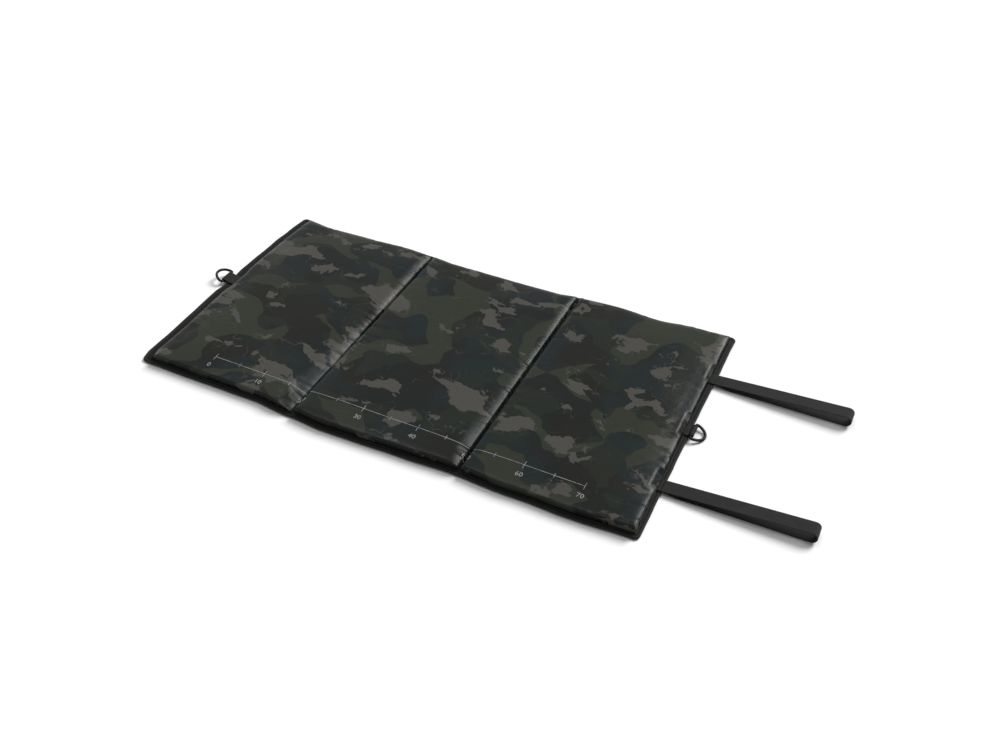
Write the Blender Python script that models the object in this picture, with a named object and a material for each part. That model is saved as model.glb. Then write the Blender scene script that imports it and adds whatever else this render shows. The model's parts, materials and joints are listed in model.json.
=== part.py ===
"""Padded three-panel unhooking mat, lying open and face up.

Metres, +Z up. The origin is on the ground under the middle of the middle panel, +X runs along the
mat to the end with the two carrying straps, and +Y runs to its back edge.
"""

from math import asin, cos, pi, radians, sin

import bmesh
import bpy
from mathutils import Matrix, Vector

# Plan of the mat, with each panel measured to the middle of its fold seam
LEFT_PANEL = 0.310
MIDDLE_PANEL = 0.302
RIGHT_PANEL = 0.292
MAT_WIDTH = 0.500
MAT_CORNER_RADIUS = 0.008

# Padding, from the ground to the middle of a panel
PAD_HEIGHT = 0.024
CROWN_RISE = 0.0035
CROWN_RUN = 0.070
EDGE_SHOULDER = 0.010
SEAM_SHOULDER = 0.022
PAD_CORNER_RADIUS = 0.016
DRAWN_IN = 0.002

# Cloth, binding tape and webbing
CLOTH = 0.0007
TAPE = 0.0008
TAPE_WIDTH = 0.014
WEBBING = 0.0012
WEBBING_WIDTH = 0.025
CLEARANCE = 0.0003
SEAM_FLANGE = 0.002
CLOTH_STEP = 0.002

# D-ring and the webbing tab that holds it
WIRE = 0.0042
RING_WIDTH = 0.039
RING_DEPTH = 0.0225
RING_CORNER_SHARE = 0.12
BAR_CLEARANCE = 0.00035
LEFT_TAB_REACH = 0.013
RIGHT_TAB_REACH = 0.0045
LEFT_TAB_Y = 0.015
RIGHT_TAB_Y = 0.0025
LEFT_RING_RISE = radians(20)
NECK_ANGLE = radians(150)

# Air left between the panels when the left one is folded onto the middle and the right one onto both
FOLD_GAP = 0.001

# Carrying straps, each a loop of webbing
FRONT_STRAP_Y = -0.130
FRONT_STRAP_LENGTH = 0.236
FRONT_STRAP_SPLAY = 0.006
BACK_STRAP_Y = 0.140
BACK_STRAP_LENGTH = 0.228
BACK_STRAP_SPLAY = 0.002
STRAP_LOOP_HEIGHT = 0.020
STRAP_DROP_RUN = 0.030

# Least share of its thickness that webbing keeps across a bend
SHARPEST_MITRE_SHARE = 0.5

# Steps of the curved forms
CORNER_STEPS = 4
LONG_SIDE_STEPS = 6
END_SIDE_STEPS = 8
SHOULDER_STEPS = 5
CROWN_STEPS = 2
ARC_STEPS = 10
FOLD_STEPS = 4
RING_STEPS = 24
WIRE_STEPS = 8
STRAP_STEPS = 8

# Heights of the layers at the rim: tape, base cloth, top cloth, tape
BASE_RIM_Z = TAPE + CLEARANCE
FLANGE_Z = BASE_RIM_Z + CLOTH + CLEARANCE
TAPE_TOP_Z = FLANGE_Z + CLOTH + CLEARANCE
RIM_HEIGHT = TAPE_TOP_Z + TAPE
WEBBING_Z = RIM_HEIGHT + CLEARANCE

# Insets from the rim and from the middle of a seam
CLOTH_EDGE = TAPE + CLEARANCE
SEAM_EDGE = CLEARANCE / 2
FOOT_EDGE = TAPE_WIDTH + CLEARANCE

# Height of a seam-side or rim-side shoulder, and the places of seams and ends
SHOULDER_Z = PAD_HEIGHT - CROWN_RISE
LEFT_SEAM_X = -MIDDLE_PANEL / 2
RIGHT_SEAM_X = MIDDLE_PANEL / 2
LEFT_END_X = LEFT_SEAM_X - LEFT_PANEL
RIGHT_END_X = RIGHT_SEAM_X + RIGHT_PANEL
HALF_WIDTH = MAT_WIDTH / 2

# Heights of the two fold axes, each midway through the stack that it closes
LEFT_FOLD_Z = PAD_HEIGHT + FOLD_GAP / 2
RIGHT_FOLD_Z = 1.5 * PAD_HEIGHT + FOLD_GAP

# Webbing laid double on the rim, and the eye that it forms round a ring's bar
LOWER_LEAF_Z = WEBBING_Z + WEBBING / 2
UPPER_LEAF_Z = LOWER_LEAF_Z + WEBBING + CLEARANCE
WEBBING_INNER = TAPE_WIDTH - CLEARANCE
EYE_RADIUS = WIRE / 2 + BAR_CLEARANCE + WEBBING / 2
RING_AXIS_Z = LOWER_LEAF_Z + EYE_RADIUS

# The right ring lies on the ground, and each strap turns at the top edge of its webbing
RIGHT_RING_RISE = -asin((RING_AXIS_Z - WIRE / 2) / (RING_DEPTH - WIRE / 2))
STRAP_AXIS_Z = UPPER_LEAF_Z + WEBBING / 2 + CLEARANCE

BLACK_CLOTH = ((0.020, 0.022, 0.021), 0.62, 0.0)
PATTERNED_CLOTH = ((0.028, 0.032, 0.028), 0.42, 0.0)
FOAM = ((0.33, 0.33, 0.34), 0.90, 0.0)
BINDING_TAPE = ((0.024, 0.026, 0.023), 0.70, 0.0)
STRAP_WEBBING = ((0.028, 0.030, 0.027), 0.66, 0.0)
BLACK_METAL = ((0.060, 0.062, 0.065), 0.32, 1.0)


class Panel:
    """One padded panel: its name, its two ends along X, and which of them are fold seams."""

    def __init__(self, name, low_x, high_x, low_is_seam, high_is_seam):
        self.name = name
        self.low_x = low_x
        self.high_x = high_x
        self.low_is_seam = low_is_seam
        self.high_is_seam = high_is_seam

    def bounds(self, edge_inset, seam_inset):
        """Low X, high X and half width when the rim and the seams are drawn in."""
        low = self.low_x + (seam_inset if self.low_is_seam else edge_inset)
        high = self.high_x - (seam_inset if self.high_is_seam else edge_inset)
        return low, high, HALF_WIDTH - edge_inset

    def radii(self, free_radius, seam_radius):
        """Corner radii at the low and at the high end."""
        low = seam_radius if self.low_is_seam else free_radius
        high = seam_radius if self.high_is_seam else free_radius
        return low, high


PANELS = (
    Panel("left", LEFT_END_X, LEFT_SEAM_X, False, True),
    Panel("middle", LEFT_SEAM_X, RIGHT_SEAM_X, True, True),
    Panel("right", RIGHT_SEAM_X, RIGHT_END_X, True, False),
)


def clear_scene():
    """Remove what the file opened with."""
    for item in list(bpy.data.objects):
        bpy.data.objects.remove(item, do_unlink=True)


def material(name, finish):
    """Principled material from a colour, a roughness and a metallic value."""
    colour, roughness, metallic = finish
    made = bpy.data.materials.new(name)
    made.use_nodes = True
    shader = made.node_tree.nodes["Principled BSDF"]
    shader.inputs["Base Color"].default_value = (*colour, 1.0)
    shader.inputs["Roughness"].default_value = roughness
    shader.inputs["Metallic"].default_value = metallic
    made.diffuse_color = (*colour, 1.0)
    return made


def place_of(pivot):
    """World place of an unturned empty, through the empties that carry it."""
    place = Vector((0, 0, 0))
    while pivot is not None:
        place += pivot.location
        pivot = pivot.parent
    return place


def add_pivot(name, place, carrier=None):
    """Empty on a joint's axis, which carries the pieces that turn there."""
    pivot = bpy.data.objects.new(name, None)
    pivot.location = Vector(place) - place_of(carrier)
    pivot.parent = carrier
    bpy.context.collection.objects.link(pivot)
    return pivot


def add_object(name, bm, finish, pivot):
    """Close a bmesh into a named, smooth-shaded object whose origin is on its pivot."""
    bmesh.ops.translate(bm, verts=bm.verts, vec=-place_of(pivot))
    bmesh.ops.recalc_face_normals(bm, faces=bm.faces)
    mesh = bpy.data.meshes.new(name)
    bm.to_mesh(mesh)
    bm.free()
    mesh.shade_smooth()
    mesh.set_sharp_from_angle(angle=radians(35))
    made = bpy.data.objects.new(name, mesh)
    bpy.context.collection.objects.link(made)
    mesh.materials.append(material(name, finish))
    made.parent = pivot


def rounded_loop(bounds, radii, height, drawn_in=0.0):
    """Rounded rectangle of points at one height, whose sides pull in between the corners."""
    low_x, high_x, half_width = bounds
    low_radius, high_radius = radii
    corners = (
        (low_x + low_radius, -half_width + low_radius, low_radius, pi, LONG_SIDE_STEPS),
        (high_x - high_radius, -half_width + high_radius, high_radius, 1.5 * pi, END_SIDE_STEPS),
        (high_x - high_radius, half_width - high_radius, high_radius, 0.0, LONG_SIDE_STEPS),
        (low_x + low_radius, half_width - low_radius, low_radius, 0.5 * pi, END_SIDE_STEPS),
    )
    arcs = []
    for centre_x, centre_y, radius, start, _ in corners:
        arc = []
        for step in range(CORNER_STEPS + 1):
            angle = start + 0.5 * pi * step / CORNER_STEPS
            arc.append(Vector((centre_x + radius * cos(angle), centre_y + radius * sin(angle), height)))
        arcs.append(arc)
    loop = []
    for index, corner in enumerate(corners):
        loop.extend(arcs[index])
        first = arcs[index][-1]
        last = arcs[(index + 1) % len(arcs)][0]
        turn = corner[3] + pi
        inward = Vector((cos(turn), sin(turn), 0)) @ Matrix.Rotation(-0.5 * pi, 3, "Z")
        for step in range(1, corner[4]):
            share = step / corner[4]
            loop.append(first.lerp(last, share) + inward * drawn_in * sin(pi * share))
    return loop


def loft(bm, loops, closed=False):
    """Skin loops of equal length one after another, and cap both ends or join them up."""
    rows = []
    for loop in loops:
        rows.append([bm.verts.new(point) for point in loop])
    pairs = list(zip(rows, rows[1:]))
    if closed:
        pairs.append((rows[-1], rows[0]))
    else:
        bm.faces.new(rows[0])
        bm.faces.new(rows[-1])
    for row, following in pairs:
        count = len(row)
        for index in range(count):
            after = (index + 1) % count
            bm.faces.new((row[index], row[after], following[after], following[index]))


def padded_loops(panel, foot_inset, base_z, top_z):
    """Loops from the foot of a pad's sides, over its shoulders, to the flat of its crown."""
    loops = []
    rise = top_z - CROWN_RISE - base_z
    radii = panel.radii(PAD_CORNER_RADIUS, PAD_CORNER_RADIUS)
    for step in range(SHOULDER_STEPS + 1):
        angle = 0.5 * pi * step / SHOULDER_STEPS
        run_share = 1 - cos(angle)
        bounds = panel.bounds(
            FOOT_EDGE + foot_inset + EDGE_SHOULDER * run_share,
            SEAM_FLANGE + foot_inset + SEAM_SHOULDER * run_share,
        )
        height = base_z + rise * sin(angle)
        loops.append(rounded_loop(bounds, radii, height, DRAWN_IN))
    for step in range(1, CROWN_STEPS + 1):
        share = step / CROWN_STEPS
        bounds = panel.bounds(
            FOOT_EDGE + foot_inset + EDGE_SHOULDER + CROWN_RUN * share,
            SEAM_FLANGE + foot_inset + SEAM_SHOULDER + CROWN_RUN * share,
        )
        height = base_z + rise + CROWN_RISE * (1 - (1 - share) ** 2)
        loops.append(rounded_loop(bounds, radii, height, DRAWN_IN))
    return loops


def rim_loop(panel, height):
    """Cut edge of a cloth, square at the seams and round at the free corners."""
    bounds = panel.bounds(CLOTH_EDGE, SEAM_EDGE)
    return rounded_loop(bounds, panel.radii(MAT_CORNER_RADIUS - CLOTH_EDGE, CLEARANCE), height)


def add_top_cover(panel, pivot):
    """Outer cloth: a flange all round, then the crowned cover over the foam."""
    flange_top = FLANGE_Z + CLOTH
    outside = padded_loops(panel, 0.0, flange_top, PAD_HEIGHT)
    inside = padded_loops(panel, CLOTH, FLANGE_Z, PAD_HEIGHT - CLOTH)
    bm = bmesh.new()
    loft(bm, inside[::-1] + [rim_loop(panel, FLANGE_Z), rim_loop(panel, flange_top)] + outside)
    add_object(f"top_cover_{panel.name}", bm, PATTERNED_CLOTH, pivot)


def add_bottom_cover(panel, pivot):
    """Base cloth, flat on the ground and stepped up to the binding and the seams."""
    foot = panel.bounds(FOOT_EDGE, SEAM_FLANGE)
    flat = panel.bounds(FOOT_EDGE + CLOTH_STEP, SEAM_FLANGE + CLOTH_STEP)
    radii = panel.radii(MAT_CORNER_RADIUS, MAT_CORNER_RADIUS)
    loops = [
        rounded_loop(flat, radii, 0.0),
        rounded_loop(foot, radii, BASE_RIM_Z),
        rim_loop(panel, BASE_RIM_Z),
        rim_loop(panel, BASE_RIM_Z + CLOTH),
        rounded_loop(foot, radii, BASE_RIM_Z + CLOTH),
        rounded_loop(flat, radii, CLOTH),
    ]
    bm = bmesh.new()
    loft(bm, loops)
    add_object(f"bottom_cover_{panel.name}", bm, BLACK_CLOTH, pivot)


def add_foam_pad(panel, pivot):
    """Foam slab that fills the cover."""
    bm = bmesh.new()
    top_z = PAD_HEIGHT - CLOTH - CLEARANCE
    loft(bm, padded_loops(panel, CLOTH_STEP + CLEARANCE, CLOTH + CLEARANCE, top_z))
    add_object(f"foam_pad_{panel.name}", bm, FOAM, pivot)


def binding_section():
    """Binding tape folded round the rim, as insets from the edge and heights."""
    return (
        (0.0, TAPE),
        (TAPE, 0.0),
        (TAPE_WIDTH, 0.0),
        (TAPE_WIDTH, TAPE),
        (TAPE, TAPE),
        (TAPE, TAPE_TOP_Z),
        (TAPE_WIDTH, TAPE_TOP_Z),
        (TAPE_WIDTH, RIM_HEIGHT),
        (TAPE, RIM_HEIGHT),
        (0.0, TAPE_TOP_Z),
    )


def end_path(seam_x, end_x, inset):
    """Plan of a rim that runs from a seam round the two corners of an end and back."""
    outward = 1 if end_x > seam_x else -1
    radius = max(MAT_CORNER_RADIUS - inset, CLEARANCE)
    reach = end_x - outward * inset
    half_width = HALF_WIDTH - inset
    start = seam_x + outward * SEAM_EDGE
    points = [(start, -half_width)]
    for side in (-1, 1):
        arc = []
        for step in range(CORNER_STEPS + 1):
            angle = 0.5 * pi * step / CORNER_STEPS
            x = reach - outward * radius * (1 - sin(angle))
            y = side * (half_width - radius * (1 - cos(angle)))
            arc.append((x, y))
        points.extend(arc if side < 0 else arc[::-1])
    points.append((start, half_width))
    return points


def middle_path(side, inset):
    """Plan of a rim between the two seams, in front (-1) or at the back (1)."""
    y = side * (HALF_WIDTH - inset)
    return [(LEFT_SEAM_X + SEAM_EDGE, y), (RIGHT_SEAM_X - SEAM_EDGE, y)]


def add_binding(name, path, pivot):
    """Sweep the folded tape along a rim. path gives the plan for an inset."""
    columns = []
    for inset, height in binding_section():
        columns.append([Vector((x, y, height)) for x, y in path(inset)])
    bm = bmesh.new()
    loft(bm, [list(section) for section in zip(*columns)])
    add_object(name, bm, BINDING_TAPE, pivot)


def add_ribbon(name, path, start_x, outward, centre_y, pivot, splay=0.0):
    """Webbing of constant thickness along a path of (reach, height) points.

    The path starts at start_x and runs outward along X. splay moves the far end sideways.
    """
    longest = max(reach for reach, _ in path)
    sides = ([], [])
    for index, (reach, height) in enumerate(path):
        before = Vector(path[max(index - 1, 0)])
        here = Vector((reach, height))
        after = Vector(path[min(index + 1, len(path) - 1)])
        first = (here - before).normalized() if index else (after - here).normalized()
        second = (after - here).normalized() if index < len(path) - 1 else first
        tangent = (first + second).normalized()
        normal = Vector((-tangent.y, tangent.x))
        half = WEBBING / 2 / max(normal.dot(Vector((-first.y, first.x))), SHARPEST_MITRE_SHARE)
        for side, sign in zip(sides, (1, -1)):
            side.append(here + normal * half * sign)
    outline = sides[0] + sides[1][::-1]
    bm = bmesh.new()
    rows = []
    for edge in (-0.5, 0.5):
        row = []
        for reach, height in outline:
            x = start_x + outward * reach
            y = centre_y + edge * WEBBING_WIDTH + splay * reach / longest
            row.append(bm.verts.new((x, y, height)))
        rows.append(row)
    count = len(path)
    last = 2 * count - 1
    for near in range(count - 1):
        far = last - near
        for row in rows:
            bm.faces.new((row[near], row[near + 1], row[far - 1], row[far]))
    for index in range(2 * count):
        after = (index + 1) % (2 * count)
        bm.faces.new((rows[0][index], rows[0][after], rows[1][after], rows[1][index]))
    add_object(name, bm, STRAP_WEBBING, pivot)


def arc_points(centre, radius, start, end, steps):
    """Points of an arc in (reach, height), from one angle to another."""
    points = []
    for step in range(steps + 1):
        angle = start + (end - start) * step / steps
        points.append((centre[0] + radius * cos(angle), centre[1] + radius * sin(angle)))
    return points


def add_ring_tab(name, end_x, outward, reach, centre_y, pivot):
    """Webbing folded round a ring's bar, with both leaves sewn down on the rim."""
    eye = arc_points((reach, RING_AXIS_Z), EYE_RADIUS, -0.5 * pi, NECK_ANGLE, 2 * ARC_STEPS)
    neck_x, neck_z = eye[-1]
    slope = -cos(NECK_ANGLE) / sin(NECK_ANGLE)
    leaf_x = neck_x - (neck_z - UPPER_LEAF_Z) / slope
    path = [(-WEBBING_INNER, LOWER_LEAF_Z)] + eye
    path += [(leaf_x, UPPER_LEAF_Z), (-WEBBING_INNER, UPPER_LEAF_Z)]
    add_ribbon(name, path, end_x, outward, centre_y, pivot)


def add_ring(name, end_x, outward, reach, centre_y, rise, carrier):
    """Bent-wire D-ring whose bar lies in the eye of its tab."""
    bar_place = Vector((end_x + outward * reach, centre_y, RING_AXIS_Z))
    half_width = (RING_WIDTH - WIRE) / 2
    depth = RING_DEPTH - WIRE / 2
    bar = half_width * (1 - RING_CORNER_SHARE)
    centreline = [(0.0, -bar), (0.0, 0.0), (0.0, bar)]
    for step in range(RING_STEPS + 1):
        angle = RING_CORNER_SHARE + (pi - 2 * RING_CORNER_SHARE) * step / RING_STEPS
        centreline.append((depth * sin(angle), half_width * cos(angle)))
    count = len(centreline)
    up = Vector((-outward * sin(rise), 0, cos(rise)))
    out = Vector((outward * cos(rise), 0, sin(rise)))
    side = Vector((0, 1, 0))
    loops = []
    for index, (along, across) in enumerate(centreline):
        before = Vector(centreline[index - 1])
        after = Vector(centreline[(index + 1) % count])
        tangent = (after - before).normalized()
        aside = out * -tangent.y + side * tangent.x
        loop = []
        for step in range(WIRE_STEPS):
            angle = 2 * pi * step / WIRE_STEPS
            spoke = aside * cos(angle) + up * sin(angle)
            loop.append(bar_place + out * along + side * across + spoke * WIRE / 2)
        loops.append(loop)
    bm = bmesh.new()
    loft(bm, loops, closed=True)
    add_object(name, bm, BLACK_METAL, add_pivot(f"{name}_pivot", bar_place, carrier))


def add_strap_anchor(name, centre_y, pivot):
    """Hairpin of webbing sewn down on the rim, where a strap starts."""
    turn = (UPPER_LEAF_Z - LOWER_LEAF_Z) / 2
    inner = -WEBBING_INNER + turn + WEBBING / 2
    fold = arc_points((inner, LOWER_LEAF_Z + turn), turn, 1.5 * pi, 0.5 * pi, FOLD_STEPS)
    path = [(-CLEARANCE, LOWER_LEAF_Z)] + fold + [(-CLEARANCE, UPPER_LEAF_Z)]
    add_ribbon(name, path, RIGHT_END_X, 1, centre_y, pivot)


def strap_path(length):
    """Loop of webbing: out along the ground, round the far turn and straight back to the anchor."""
    ground = WEBBING / 2
    turn = (STRAP_LOOP_HEIGHT - WEBBING) / 2
    turn_x = length - turn - WEBBING / 2
    lower = []
    for step in range(STRAP_STEPS + 1):
        share = step / STRAP_STEPS
        drop = (LOWER_LEAF_Z - ground) * (1 + cos(pi * share)) / 2
        lower.append((STRAP_DROP_RUN * share, ground + drop))
    lower[0] = (CLEARANCE, LOWER_LEAF_Z)
    far = arc_points((turn_x, ground + turn), turn, -0.5 * pi, 0.5 * pi, ARC_STEPS)
    return lower + far + [(CLEARANCE, UPPER_LEAF_Z)]


def add_strap(name, centre_y, length, splay, carrier):
    """Carrying strap that turns on the outer edge of its anchor."""
    pivot = add_pivot(f"{name}_pivot", (RIGHT_END_X, centre_y, STRAP_AXIS_Z), carrier)
    add_ribbon(name, strap_path(length), RIGHT_END_X, 1, centre_y, pivot, splay)


def build():
    """Model every piece of the mat, each under the pivot of the panel that carries it."""
    clear_scene()
    middle = add_pivot("middle_panel", (0, 0, 0))
    left = add_pivot("left_panel", (LEFT_SEAM_X, 0, LEFT_FOLD_Z), middle)
    right = add_pivot("right_panel", (RIGHT_SEAM_X, 0, RIGHT_FOLD_Z), middle)
    for panel, pivot in zip(PANELS, (left, middle, right)):
        add_foam_pad(panel, pivot)
        add_top_cover(panel, pivot)
        add_bottom_cover(panel, pivot)
    add_binding("binding_left", lambda inset: end_path(LEFT_SEAM_X, LEFT_END_X, inset), left)
    add_binding("binding_middle_front", lambda inset: middle_path(-1, inset), middle)
    add_binding("binding_middle_back", lambda inset: middle_path(1, inset), middle)
    add_binding("binding_right", lambda inset: end_path(RIGHT_SEAM_X, RIGHT_END_X, inset), right)
    add_ring_tab("d_ring_tab_left", LEFT_END_X, -1, LEFT_TAB_REACH, LEFT_TAB_Y, left)
    add_ring_tab("d_ring_tab_right", RIGHT_END_X, 1, RIGHT_TAB_REACH, RIGHT_TAB_Y, right)
    add_ring("d_ring_left", LEFT_END_X, -1, LEFT_TAB_REACH, LEFT_TAB_Y, LEFT_RING_RISE, left)
    add_ring("d_ring_right", RIGHT_END_X, 1, RIGHT_TAB_REACH, RIGHT_TAB_Y, RIGHT_RING_RISE, right)
    add_strap_anchor("strap_anchor_front", FRONT_STRAP_Y, right)
    add_strap_anchor("strap_anchor_back", BACK_STRAP_Y, right)
    add_strap("strap_loop_front", FRONT_STRAP_Y, FRONT_STRAP_LENGTH, FRONT_STRAP_SPLAY, right)
    add_strap("strap_loop_back", BACK_STRAP_Y, BACK_STRAP_LENGTH, BACK_STRAP_SPLAY, right)


build()
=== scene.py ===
"""Dressed model of a padded mat that folds in three, open and face up on a pale studio floor.

Metres, +Z up. The mat lies along X, with its two carrying straps at the +X end.
"""

import json
import logging
from dataclasses import dataclass
from enum import Enum
from math import atan2, ceil, cos, pi, radians, sin
from typing import Callable

import bmesh
import bpy
import numpy as np
from mathutils import Matrix, Vector


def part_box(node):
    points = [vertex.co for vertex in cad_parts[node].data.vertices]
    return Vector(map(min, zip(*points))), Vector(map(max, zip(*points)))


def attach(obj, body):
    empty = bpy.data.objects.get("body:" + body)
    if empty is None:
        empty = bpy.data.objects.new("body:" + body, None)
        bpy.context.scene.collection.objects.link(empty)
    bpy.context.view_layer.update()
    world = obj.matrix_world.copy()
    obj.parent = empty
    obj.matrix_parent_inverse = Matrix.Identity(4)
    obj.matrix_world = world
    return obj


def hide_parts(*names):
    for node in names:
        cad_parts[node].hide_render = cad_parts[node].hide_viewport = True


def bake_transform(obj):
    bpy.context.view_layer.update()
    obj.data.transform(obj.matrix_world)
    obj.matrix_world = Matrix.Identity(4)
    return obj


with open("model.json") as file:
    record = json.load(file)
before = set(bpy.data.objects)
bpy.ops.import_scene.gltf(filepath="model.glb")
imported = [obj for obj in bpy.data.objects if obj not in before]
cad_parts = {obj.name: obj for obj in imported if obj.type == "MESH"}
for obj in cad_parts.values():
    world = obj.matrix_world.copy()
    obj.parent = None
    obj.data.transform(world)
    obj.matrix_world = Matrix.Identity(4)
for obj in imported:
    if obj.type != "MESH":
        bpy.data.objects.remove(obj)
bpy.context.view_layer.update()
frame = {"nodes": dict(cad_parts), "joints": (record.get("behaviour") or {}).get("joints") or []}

LOG = logging.getLogger("mat")

Points = np.ndarray
Placer = Callable[[Points, Points], Points]

# Heights and thicknesses of the sewn layers
CLOTH = 0.0007
TAPE = 0.0008
TAPE_WIDTH = 0.0145
WEBBING = 0.0013
WEBBING_WIDTH = 0.025
LAYER_AIR = 0.0002

# How far webbing reaches in over the binding tape, and the height of its lowest layer there
WEBBING_REACH = TAPE_WIDTH - 0.0003
WEBBING_LOW = 0.0049

# Box of stitches on webbing: its margin, its far side's distance from the rim, and its pitch
PATCH_MARGIN = 0.0022
PATCH_FAR = 0.0122
PATCH_PITCH = 0.0034

# Gap between a swollen pad and the middle of its seam
SEAM_GAP = 0.0018

# Half the length of rim and base cloth that spans a fold
FOLD_REACH = 0.015

# Spacing of cuts along sewn edges, and of the stitches
CUT = 0.0025
STITCH_PITCH = 0.0042


class Body(Enum):
    """Bodies of the frame that pieces ride on."""

    LEFT = "left_panel"
    MIDDLE = "middle_panel"
    RIGHT = "right_panel"
    LEFT_RING = "left_ring"
    RIGHT_RING = "right_ring"
    FRONT_STRAP = "front_strap"
    BACK_STRAP = "back_strap"


class Side(Enum):
    """Side of the mat along Y."""

    FRONT = -1
    BACK = 1


class Slot(Enum):
    """Material slots of the record."""

    PATTERNED = "patterned_cloth"
    BASE = "base_cloth"
    TAPE = "binding_tape"
    WEBBING = "webbing"
    METAL = "black_metal"


@dataclass(frozen=True)
class Plan:
    """Outline of the whole mat, read from the frame."""

    low_x: float
    high_x: float
    half_width: float
    left_seam: float
    right_seam: float
    corner_radius: float = 0.008

    @classmethod
    def read(cls) -> "Plan":
        """Measure the bound rim and the two folds.

        Returns:
            The outline in metres.
        """
        left_low, left_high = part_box("binding_left")
        right_low, right_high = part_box("binding_right")
        return cls(left_low.x, right_high.x, left_high.y, left_high.x, right_low.x)


PLAN = Plan.read()


def deselect_all() -> None:
    """Leave object mode with nothing selected."""
    if bpy.context.object and bpy.context.object.mode != "OBJECT":
        bpy.ops.object.mode_set(mode="OBJECT")
    bpy.ops.object.select_all(action="DESELECT")


def pick(piece: bpy.types.Object) -> None:
    """Select one object alone and make it active."""
    deselect_all()
    piece.select_set(True)
    bpy.context.view_layer.objects.active = piece


def read_points(mesh: bpy.types.Mesh) -> Points:
    """Vertex places of a mesh as rows."""
    flat = np.zeros(len(mesh.vertices) * 3)
    mesh.vertices.foreach_get("co", flat)
    return flat.reshape(-1, 3)


def write_points(mesh: bpy.types.Mesh, points: Points) -> None:
    """Put rows back as the vertex places of a mesh."""
    mesh.vertices.foreach_set("co", points.astype(np.float32).ravel())
    mesh.update()


def read_normals(mesh: bpy.types.Mesh) -> Points:
    """Vertex normals of a mesh as rows."""
    flat = np.zeros(len(mesh.vertices) * 3)
    mesh.vertex_normals.foreach_get("vector", flat)
    return flat.reshape(-1, 3)


def smooth_step(value: Points, low: float, high: float) -> Points:
    """Ease from 0 at low to 1 at high."""
    share = np.clip((value - low) / (high - low), 0, 1)
    return share * share * (3 - 2 * share)


def apply_modifier(piece: bpy.types.Object, kind: str, **settings) -> None:
    """Add a modifier and apply it.

    Args:
        piece: Object that is shaped.
        kind: Modifier type.
        settings: Values set on the modifier.
    """
    pick(piece)
    modifier = piece.modifiers.new(kind.title(), kind)
    for name, value in settings.items():
        setattr(modifier, name, value)
    bpy.ops.object.modifier_apply(modifier=modifier.name)


def face_outwards(piece: bpy.types.Object) -> None:
    """Merge doubles of a closed piece and turn its faces out."""
    pick(piece)
    bpy.ops.object.mode_set(mode="EDIT")
    bpy.ops.mesh.select_all(action="SELECT")
    bpy.ops.mesh.remove_doubles(threshold=0.00001)
    bpy.ops.mesh.normals_make_consistent(inside=False)
    bpy.ops.object.mode_set(mode="OBJECT")


def shade(piece: bpy.types.Object, degrees: float = 40) -> None:
    """Smooth shading that keeps folds sharper than an angle."""
    pick(piece)
    bpy.ops.object.shade_smooth_by_angle(angle=radians(degrees))


def bent_strip(name: str, cells: tuple[int, int], size: tuple[float, float], place: Placer) -> bpy.types.Object:
    """Add a grid and bend it to its place.

    Args:
        name: Name of the piece.
        cells: Faces along and across.
        size: Length and width of the flat cloth, which its map is laid out in.
        place: Gives the points for shares along and across.

    Returns:
        The strip, one face thick.
    """
    deselect_all()
    bpy.ops.mesh.primitive_grid_add(x_subdivisions=cells[0], y_subdivisions=cells[1], size=1, calc_uvs=True)
    strip = bpy.context.active_object
    strip.name = name
    strip.data.name = name
    flat = read_points(strip.data) + 0.5
    write_points(strip.data, place(flat[:, 0], flat[:, 1]))
    layer = strip.data.uv_layers[0]
    layer.name = "cloth_map"
    for corner in layer.data:
        corner.uv = (corner.uv[0] * size[0], corner.uv[1] * size[1])
    return strip


def thicken(strip: bpy.types.Object, thickness: float, offset: float = -1) -> None:
    """Give a strip its thickness, with both faces and a rim."""
    apply_modifier(strip, "SOLIDIFY", thickness=thickness, offset=offset, use_even_offset=False)
    face_outwards(strip)


def crease_noise(along: Points, seed: int, terms: int, longest: float, shortest: float) -> Points:
    """Smooth uneven wave along an edge, from -1 to 1.

    Args:
        along: Places along the edge, in metres.
        seed: Picks the wave.
        terms: Number of sines that are summed.
        longest: Longest wavelength.
        shortest: Shortest wavelength.

    Returns:
        The wave's height at each place.
    """
    draw = np.random.default_rng(seed)
    total = np.zeros_like(along, dtype=float)
    weight = 0.0
    for term in range(terms):
        share = term / max(terms - 1, 1)
        length = longest * (shortest / longest) ** share
        strength = 1 / (1 + term)
        total += strength * np.sin(2 * pi * along / length + draw.uniform(0, 2 * pi))
        weight += strength
    return total / weight


def ease_between(value: Points, knots: tuple[tuple[float, float], ...]) -> Points:
    """Follow knots of (place, height) with a soft turn at each."""
    places = np.array([knot[0] for knot in knots])
    heights = np.array([knot[1] for knot in knots])
    index = np.clip(np.searchsorted(places, value) - 1, 0, len(places) - 2)
    share = smooth_step(value, places[index], places[index + 1])
    return heights[index] + share * (heights[index + 1] - heights[index])


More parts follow.
